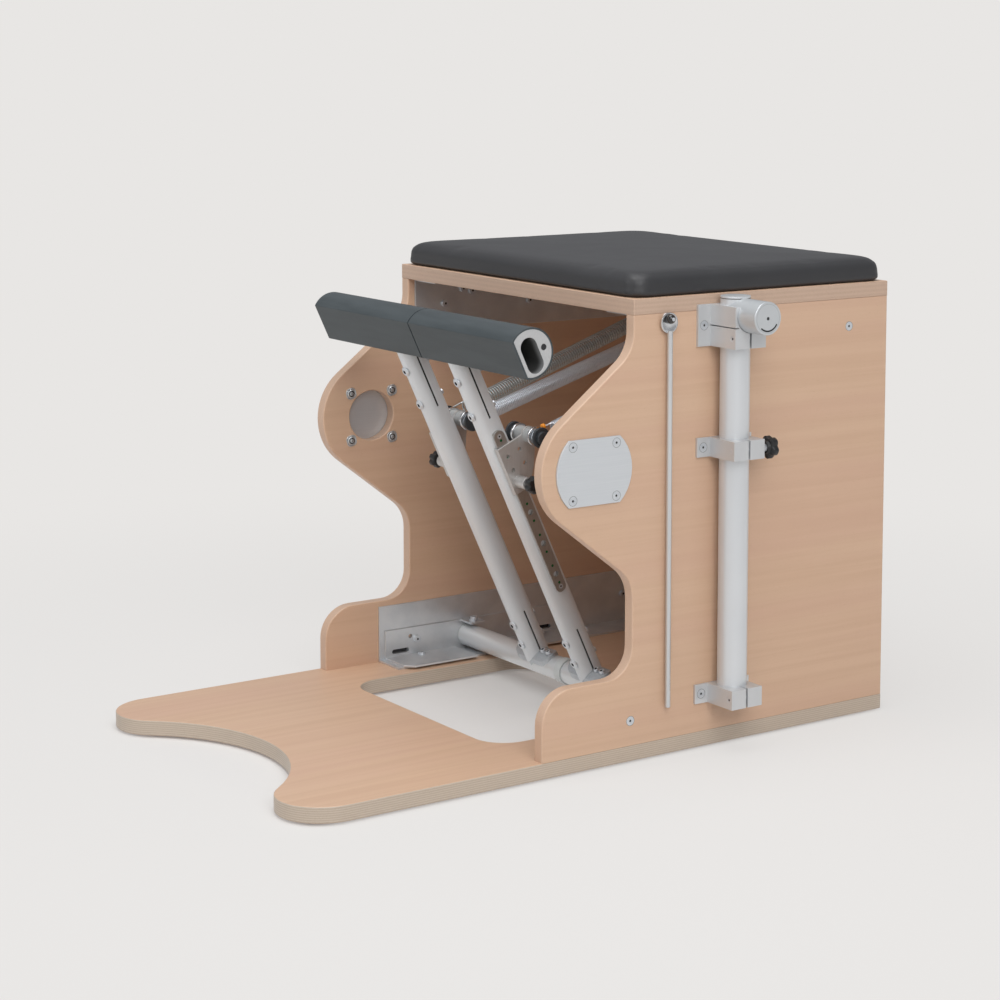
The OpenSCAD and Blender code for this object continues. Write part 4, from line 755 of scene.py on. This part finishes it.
brushed = Finish("Brushed_plate", paint(198, 201, 204), 0.34, 0.5)
strokes = brushed.grain([300, 12, 700], detail=3.0)
brushed.surface({"Base Color": brushed.mixed(strokes, paint(206, 210, 214), paint(218, 221, 224)),
                 "Roughness": 0.3 + strokes * 0.12,
                 "Normal": brushed.relief(strokes, 0.008 * MM)})
for side in SIGNS:
    eased("cover_plate_" + side, "frame", brushed, 0.5 * MM, loops_over=0.05)


# Handle poles: anodised aluminium tubes in three block brackets on each panel. A grip stub at the
# top has a round end cap, and a star knob behind the middle bracket clamps the pole. The cradle
# fills the upper bracket's groove, and the root and the seal close the grip and the pole's top.

POLE_X, POLE_Y = 313.5, 170.5
GRIP_Z, GRIP_END = 585.4, 381.0
SEAL_Z = 606.7
KNOB_SPOT = (339.5, 196.3, 408.4)
GROOVE_RADIUS, GROOVE_TOP, CRADLE_OUTSIDE = 22.15, 12.6, 22.45
CRADLE_ENDS = (313.6, 345.9)

satin = Finish("Satin_aluminium", paint(206, 207, 208), 0.36, 0.5)
draw = satin.grain([500, 500, 18], detail=3.0)
haze = satin.grain([22, 22, 9], detail=2.0)
satin.surface({"Base Color": satin.mixed(haze, paint(198, 200, 202), paint(216, 217, 218)),
               "Roughness": 0.30 + haze * 0.1 + draw * 0.08,
               "Normal": satin.relief(draw, 0.006 * MM)})
pole_satin = Finish("Anodised_pole", paint(205, 207, 208), 0.34, 0.45)
fog = pole_satin.grain([20, 20, 7], detail=2.0)
pole_satin.surface({"Base Color": pole_satin.mixed(fog, paint(209, 212, 215),
                                                   paint(222, 224, 226)),
                    "Roughness": 0.30 + fog * 0.1})
grip_satin = Finish("Grip_aluminium", paint(200, 203, 205), 0.34, 0.45)
soft = grip_satin.grain([30, 30, 30], detail=2.0)
point = grip_satin.where()
aside, over = point[1] - POLE_Y * MM, point[2] - GRIP_Z * MM
reach = aside.math("SQRT", aside * aside + over * over)
on_end = abs(point[0]).between((GRIP_END - 0.4) * MM, (GRIP_END - 0.1) * MM)
seam = reach.between(18.3 * MM, 18.6 * MM) * (1 - reach.between(19.0 * MM, 19.3 * MM))
clock = aside.math("ARCTAN2", over, aside)
arc = (reach.between(15.3 * MM, 15.5 * MM) * (1 - reach.between(17.4 * MM, 17.6 * MM))
       * clock.between(-2.34, -2.30) * (1 - clock.between(-0.52, -0.48)))
drawn_on = on_end * seam.math("MAXIMUM", seam * 0.25, arc)
grip_face = grip_satin.mixed(soft, paint(192, 196, 199), paint(208, 211, 213))
grip_satin.surface({"Base Color": grip_satin.mixed(drawn_on, grip_face, paint(36, 36, 38)),
                    "Roughness": 0.3 + soft * 0.1})


def cradle_cheek(sign, cheek):
    """The fill in front of the grip or behind it, between the groove's round wall and a flat
    outside: (r cos u, r sin u) up to the groove's top, as one ring at each end along X."""
    u = np.linspace(0, math.asin(GROOVE_TOP / GROOVE_RADIUS), 9)
    curve = np.stack([-GROOVE_RADIUS * np.cos(u), GROOVE_RADIUS * np.sin(u)], axis=1)
    edge = np.concatenate([curve, [[-CRADLE_OUTSIDE, GROOVE_TOP], [-CRADLE_OUTSIDE, 0]]])
    edge = np.stack([edge[:, 0] * -cheek, edge[:, 1]], axis=1)[::-sign * cheek]
    rings = [np.column_stack([np.full(len(edge), sign * x), edge[:, 0] + POLE_Y,
                              edge[:, 1] + GRIP_Z]) for x in CRADLE_ENDS]
    return np.array(rings) * MM


for side, sign in SIGNS.items():
    pole = side + "_pole"
    eased("handle_pole_" + side, pole, pole_satin, 0.4 * MM, 2,
          loops_over=0.12)
    eased("pole_grip_" + side, pole, grip_satin, 1.4 * MM, 4,
          share=lambda p: (abs(p.x) > (GRIP_END - 11) * MM
                           and math.hypot(p.y - POLE_Y * MM, p.z - GRIP_Z * MM) > 10 * MM))
    for node in ("upper_bracket_", "lower_brackets_"):
        eased(node + side, "frame", satin, 0.4 * MM, 2, loops_over=0.05)
    laid(skin("grip_cradle_" + side, [cradle_cheek(sign, cheek) for cheek in (-1, 1)], [satin]),
         "frame")
    root = turned([(1, 20.8), (1, 21.95), (8.6, 21.95), (8.6, 20.8)],
                  (sign * POLE_X, POLE_Y, GRIP_Z), (sign, 0, 0), 64)
    laid(skin("grip_root_" + side, [root], [grip_satin]), pole)
    # The socket in the grip's end cap is lined with painted shade.
    socket = turned([(-2.6, 2.45, 1), (-0.4, 2.45, 1)], (sign * GRIP_END, POLE_Y, GRIP_Z),
                    (sign, 0, 0))
    laid(skin("grip_socket_" + side, [socket], [painted_shade]), pole)
    ring = turned([(-0.5, 19.6), (-0.45, 20.15), (0.45, 20.15), (0.5, 19.6)],
                  (sign * POLE_X, POLE_Y, SEAL_Z), (0, 0, 1), 64)
    laid(skin("pole_seal_" + side, [ring], [black_plastic]), pole)
    knob = turned([(-51.3, 3), (0, 3), (0, 5.4), (4.5, 5.4), (4.5, 8.0), (8.0, 9.4),
                   (8.6, 13, 0, 0.16), (10.2, 15.6, 0, 0.24), (16.4, 15.6, 0, 0.24),
                   (18.4, 14.0, 0, 0.22), (19, 11.4, 0, 0.12), (19, 6), (18.3, 5.2)],
                  np.array(KNOB_SPOT) * (sign, 1, 1), (0, 1, 0), 50, 5)
    fitted(skin("star_knob_" + side, [knob], [screw_zinc, black_plastic], [0] * 3 + [1] * 9, 42),
           "black_plastic", side + "_clamp_knob", "clamp_knob_" + side)


# Storage rod and hook: a thin bright rod that hangs by its eye from a steel peg. The peg ends in a
# black ball with a screw in it, and stands on a chromed disc on the right panel.

HOOK_Y, HOOK_Z = 76.5, 583
BALL = 6.6
rod_grey = Finish("Rod_steel", paint(212, 213, 214), 0.28, 0.75)
pull = rod_grey.grain([60, 60, 6], detail=2.0)
rod_grey.surface({"Base Color": rod_grey.mixed(pull, paint(206, 208, 210), paint(222, 223, 223)),
                  "Roughness": 0.24 + pull * 0.1})
ball_black = Finish("Black_ball", paint(26, 24, 24), 0.14, Coat_Weight=0.6, Coat_Roughness=0.06)
ball_black.surface({"Roughness": 0.12 + ball_black.grain([300] * 3) * 0.06})
eye = turned([(0, 12.9), (0.3, 13.5), (2.2, 13.5), (2.5, 12.9), (2.5, 11.6), (2.3, 11.2),
              (2.3, 4)], (292.6, HOOK_Y, 577.6), (1, 0, 0), 48)
rod = turned([(0, 2.6), (0.6, 3.7), (499.2, 3.7), (500, 3.0)], (296, HOOK_Y, 568), (0, 0, -1), 24)
peg = turned([(-9, 3), (10.5, 3), (10.5, 2.6)], (289, HOOK_Y, HOOK_Z), (1, 0, 0))
disc = turned([(0, 9.0), (1.3, 9.0), (2.0, 8.2), (2.0, 4)], (289, HOOK_Y, 582), (1, 0, 0), 48)
around = np.radians(np.linspace(6, 174, 18))
ball = turned(np.stack([-BALL * np.cos(around), BALL * np.sin(around)], axis=1),
              (297.2, HOOK_Y, HOOK_Z), (1, 0, 0), 32)
dot = turned([(0, 2.4), (0.4, 2.4), (0.7, 2.0), (0.7, 1.2), (0.5, 1.0, 1)],
             (303.5, HOOK_Y, HOOK_Z), (1, 0, 0), 24)
for name, rings, finish, slot, body, node in (
        ("rod_eye", eye, bright, "bright_steel", "storage_rod", "storage_rod"),
        ("rod_shaft", rod, rod_grey, "bright_steel", "storage_rod", "storage_rod"),
        ("hook_peg", peg, bright, "bright_steel", "frame", "rod_hook"),
        ("hook_screw", dot, screw_zinc, "bright_steel", "frame", "rod_hook"),
        ("hook_plate", disc, bright, "bright_steel", "frame", "rod_hook"),
        ("hook_ball", ball, ball_black, "black_plastic", "frame", "rod_hook")):
    fitted(skin(name, [rings], [finish]), slot, body, node)


# Screws and bolts: bright cap screws through the angles and brackets, and countersunk screws
# through the panels and plates. A dark hexagon of painted shade lies in the socket of each head,
# and a ring of painted shadow lies round each countersunk one.

coated(screw_zinc, "countersunk_screws", "frame_bolts")


def solids_of(node):
    """The middle and the half size of each separate solid of a CAD node, in millimetres."""
    shape = bmesh.new()
    shape.from_mesh(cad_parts[node].data)
    bmesh.ops.remove_doubles(shape, verts=shape.verts, dist=0.002 * MM)
    left, found = set(shape.verts), []
    for first in shape.verts:
        if first not in left:
            continue
        left.discard(first)
        ahead, group = [first], []
        while ahead:
            vertex = ahead.pop()
            group.append(tuple(vertex.co))
            for edge in vertex.link_edges:
                other = edge.other_vert(vertex)
                if other in left:
                    left.discard(other)
                    ahead.append(other)
        group = np.array(group) / MM
        low, high = group.min(0), group.max(0)
        found.append(((low + high) / 2, (high - low) / 2))
    shape.free()
    return found


def recesses(node, radius, depth, away, rim=None):
    """A dark hexagon of painted shade a little below the face of each screw's head, and a ring of
    painted shadow round a countersunk one. away is 1 for heads that face out along X, and -1 for
    heads that face the middle."""
    shells, shadow_rims = [], []
    for middle, half in solids_of(node):
        axis = int(np.argmax(half))
        way = np.zeros(3)
        way[axis] = away * np.sign(middle[0]) if axis == 0 else 2.0 * (axis == 2) - 1
        face = middle + way * half[axis]
        shells.append(turned([(-depth, radius, 1), (-0.3, radius, 1)], face, way))
        if rim:
            shadow_rims.append(turned([(-0.1, rim + 0.5), (0.06, rim + 0.45), (0.06, rim),
                                (-0.1, rim - 0.05)], face, way, 40))
    laid(skin(node + "_recesses", shells, [painted_shade]), "frame")
    if rim:
        laid(skin(node + "_rims", shadow_rims, [countersink_shadow], ringed=True), "frame")


# A grey ring of painted shadow round each countersunk head.
countersink_shadow = Finish("Painted_countersink_shadow", paint(128, 130, 131), 0.5, 0.2)
countersink_shadow.surface({"Roughness": 0.44 + countersink_shadow.grain([500] * 3) * 0.14})
recesses("countersunk_screws", 1.78, 1.7, 1, 6.1)
recesses("frame_bolts", 1.95, 1.9, -1)


# Studio: a pale seamless floor and background, a large soft lamp above the right front, a weaker
# one from the left, and the camera at the height and distance of the photograph.

BACKGROUND = paint(232, 230, 228)
FLOOR_REACH = 30.0
corners = np.array([(-1, -1, 0), (1, -1, 0), (1, 1, 0), (-1, 1, 0)]) * FLOOR_REACH
floor_mesh = bpy.data.meshes.new("studio_floor")
floor_mesh.from_pydata(corners, [], [(0, 1, 2, 3)])
floor = bpy.data.objects.new("studio_floor", floor_mesh)
bpy.context.scene.collection.objects.link(floor)
floor_finish = Finish("Studio_floor", paint(225, 223, 221), 0.9)
floor_glow = floor_finish.node("ShaderNodeEmission", None, {"Color": BACKGROUND, "Strength": 1.0})
seen, mirrored, through = (
    floor_finish.node("ShaderNodeLightPath", output="Is " + kind + " Ray")
    for kind in ("Camera", "Glossy", "Transmission"))
ground = floor_finish.where()
squared = ground[0] * ground[0] + ground[1] * ground[1]
away = squared.math("SQRT", squared)
under = (1 - abs(ground[0]).between(0.26, 0.30)) * (1 - abs(ground[1]).between(0.42, 0.50))
plain = seen * (0.74 + 0.26 * away.between(0.6, 1.8)) * (1 - under * 0.72)
share = plain.math("MAXIMUM", plain, mirrored.math("MAXIMUM", mirrored, through))
lit = Reading(floor_finish, floor_finish.shader.outputs[0])
floor_mix = floor_finish.node("ShaderNodeMixShader", None, {0: share, 1: lit, 2: floor_glow})
floor_finish.fill(floor_finish.tree.nodes["Material Output"], {"Surface": floor_mix})
floor_mesh.materials.append(floor_finish.material)

world = bpy.data.worlds.new("Studio")
bpy.context.scene.world = world
world.use_nodes = True
sky = world.node_tree
backdrop = sky.nodes["Background"]
soft_box = sky.nodes.new("ShaderNodeBackground")
soft_box.inputs["Color"].default_value = paint(236, 238, 242)
soft_box.inputs["Strength"].default_value = 0.44
backdrop.inputs["Color"].default_value = BACKGROUND
backdrop.inputs["Strength"].default_value = 1.0
rays = sky.nodes.new("ShaderNodeLightPath")
either = sky.nodes.new("ShaderNodeMixShader")
sky.links.new(rays.outputs["Is Camera Ray"], either.inputs[0])
sky.links.new(soft_box.outputs[0], either.inputs[1])
sky.links.new(backdrop.outputs[0], either.inputs[2])
sky.links.new(either.outputs[0], sky.nodes["World Output"].inputs["Surface"])


def lamp(name, place, aim, size, power):
    """A square soft box at place that faces aim."""
    light = bpy.data.lights.new(name, "AREA")
    light.size, light.energy = size, power
    made = bpy.data.objects.new(name, light)
    bpy.context.scene.collection.objects.link(made)
    back = np.array(place, float) - np.array(aim, float)
    back /= np.linalg.norm(back)
    side = np.cross([0, 0, 1], back)
    side /= np.linalg.norm(side)
    up = np.cross(back, side)
    turn = np.eye(4)
    turn[:3, 0], turn[:3, 1], turn[:3, 2], turn[:3, 3] = side, up, back, place
    made.matrix_world = Matrix(turn.tolist())


lamp("Key_soft_box", (3.4, -1.2, 2.6), (0.0, 0.0, 0.3), 2.4, 73.0)
lamp("Front_soft_box", (-0.9, -3.6, 2.2), (0.0, 0.0, 0.3), 2.4, 22.0)
lamp("Top_soft_box", (0.2, -0.5, 3.6), (0.0, 0.0, 0.3), 2.6, 66.0)

AZIMUTH, ELEVATION, ROLL = 0.930191, 0.108586, 0.006285
EYE = np.array([2.7921258, -1.8172482, 0.9489868])
FOCAL_PIXELS, CENTRE = 2436.84, (650.0, 300.0)
IMAGE, SENSOR = 1000.0, 36.0
back = np.array([math.sin(AZIMUTH) * math.cos(ELEVATION), -math.cos(AZIMUTH) * math.cos(ELEVATION),
                 math.sin(ELEVATION)])
right = np.array([math.cos(AZIMUTH), math.sin(AZIMUTH), 0.0])
above = np.cross(back, right)
turn = np.eye(4)
turn[:3, 0] = math.cos(ROLL) * right + math.sin(ROLL) * above
turn[:3, 1] = math.cos(ROLL) * above - math.sin(ROLL) * right
turn[:3, 2], turn[:3, 3] = back, EYE
lens = bpy.data.cameras.new("Camera")
lens.lens = FOCAL_PIXELS / IMAGE * SENSOR
lens.sensor_width = SENSOR
lens.shift_x = (IMAGE / 2 - CENTRE[0]) / IMAGE
lens.shift_y = (CENTRE[1] - IMAGE / 2) / IMAGE
camera = bpy.data.objects.new("Camera", lens)
bpy.context.scene.collection.objects.link(camera)
camera.matrix_world = Matrix(turn.tolist())
bpy.context.scene.camera = camera
bpy.context.scene.view_settings.view_transform = "Standard"
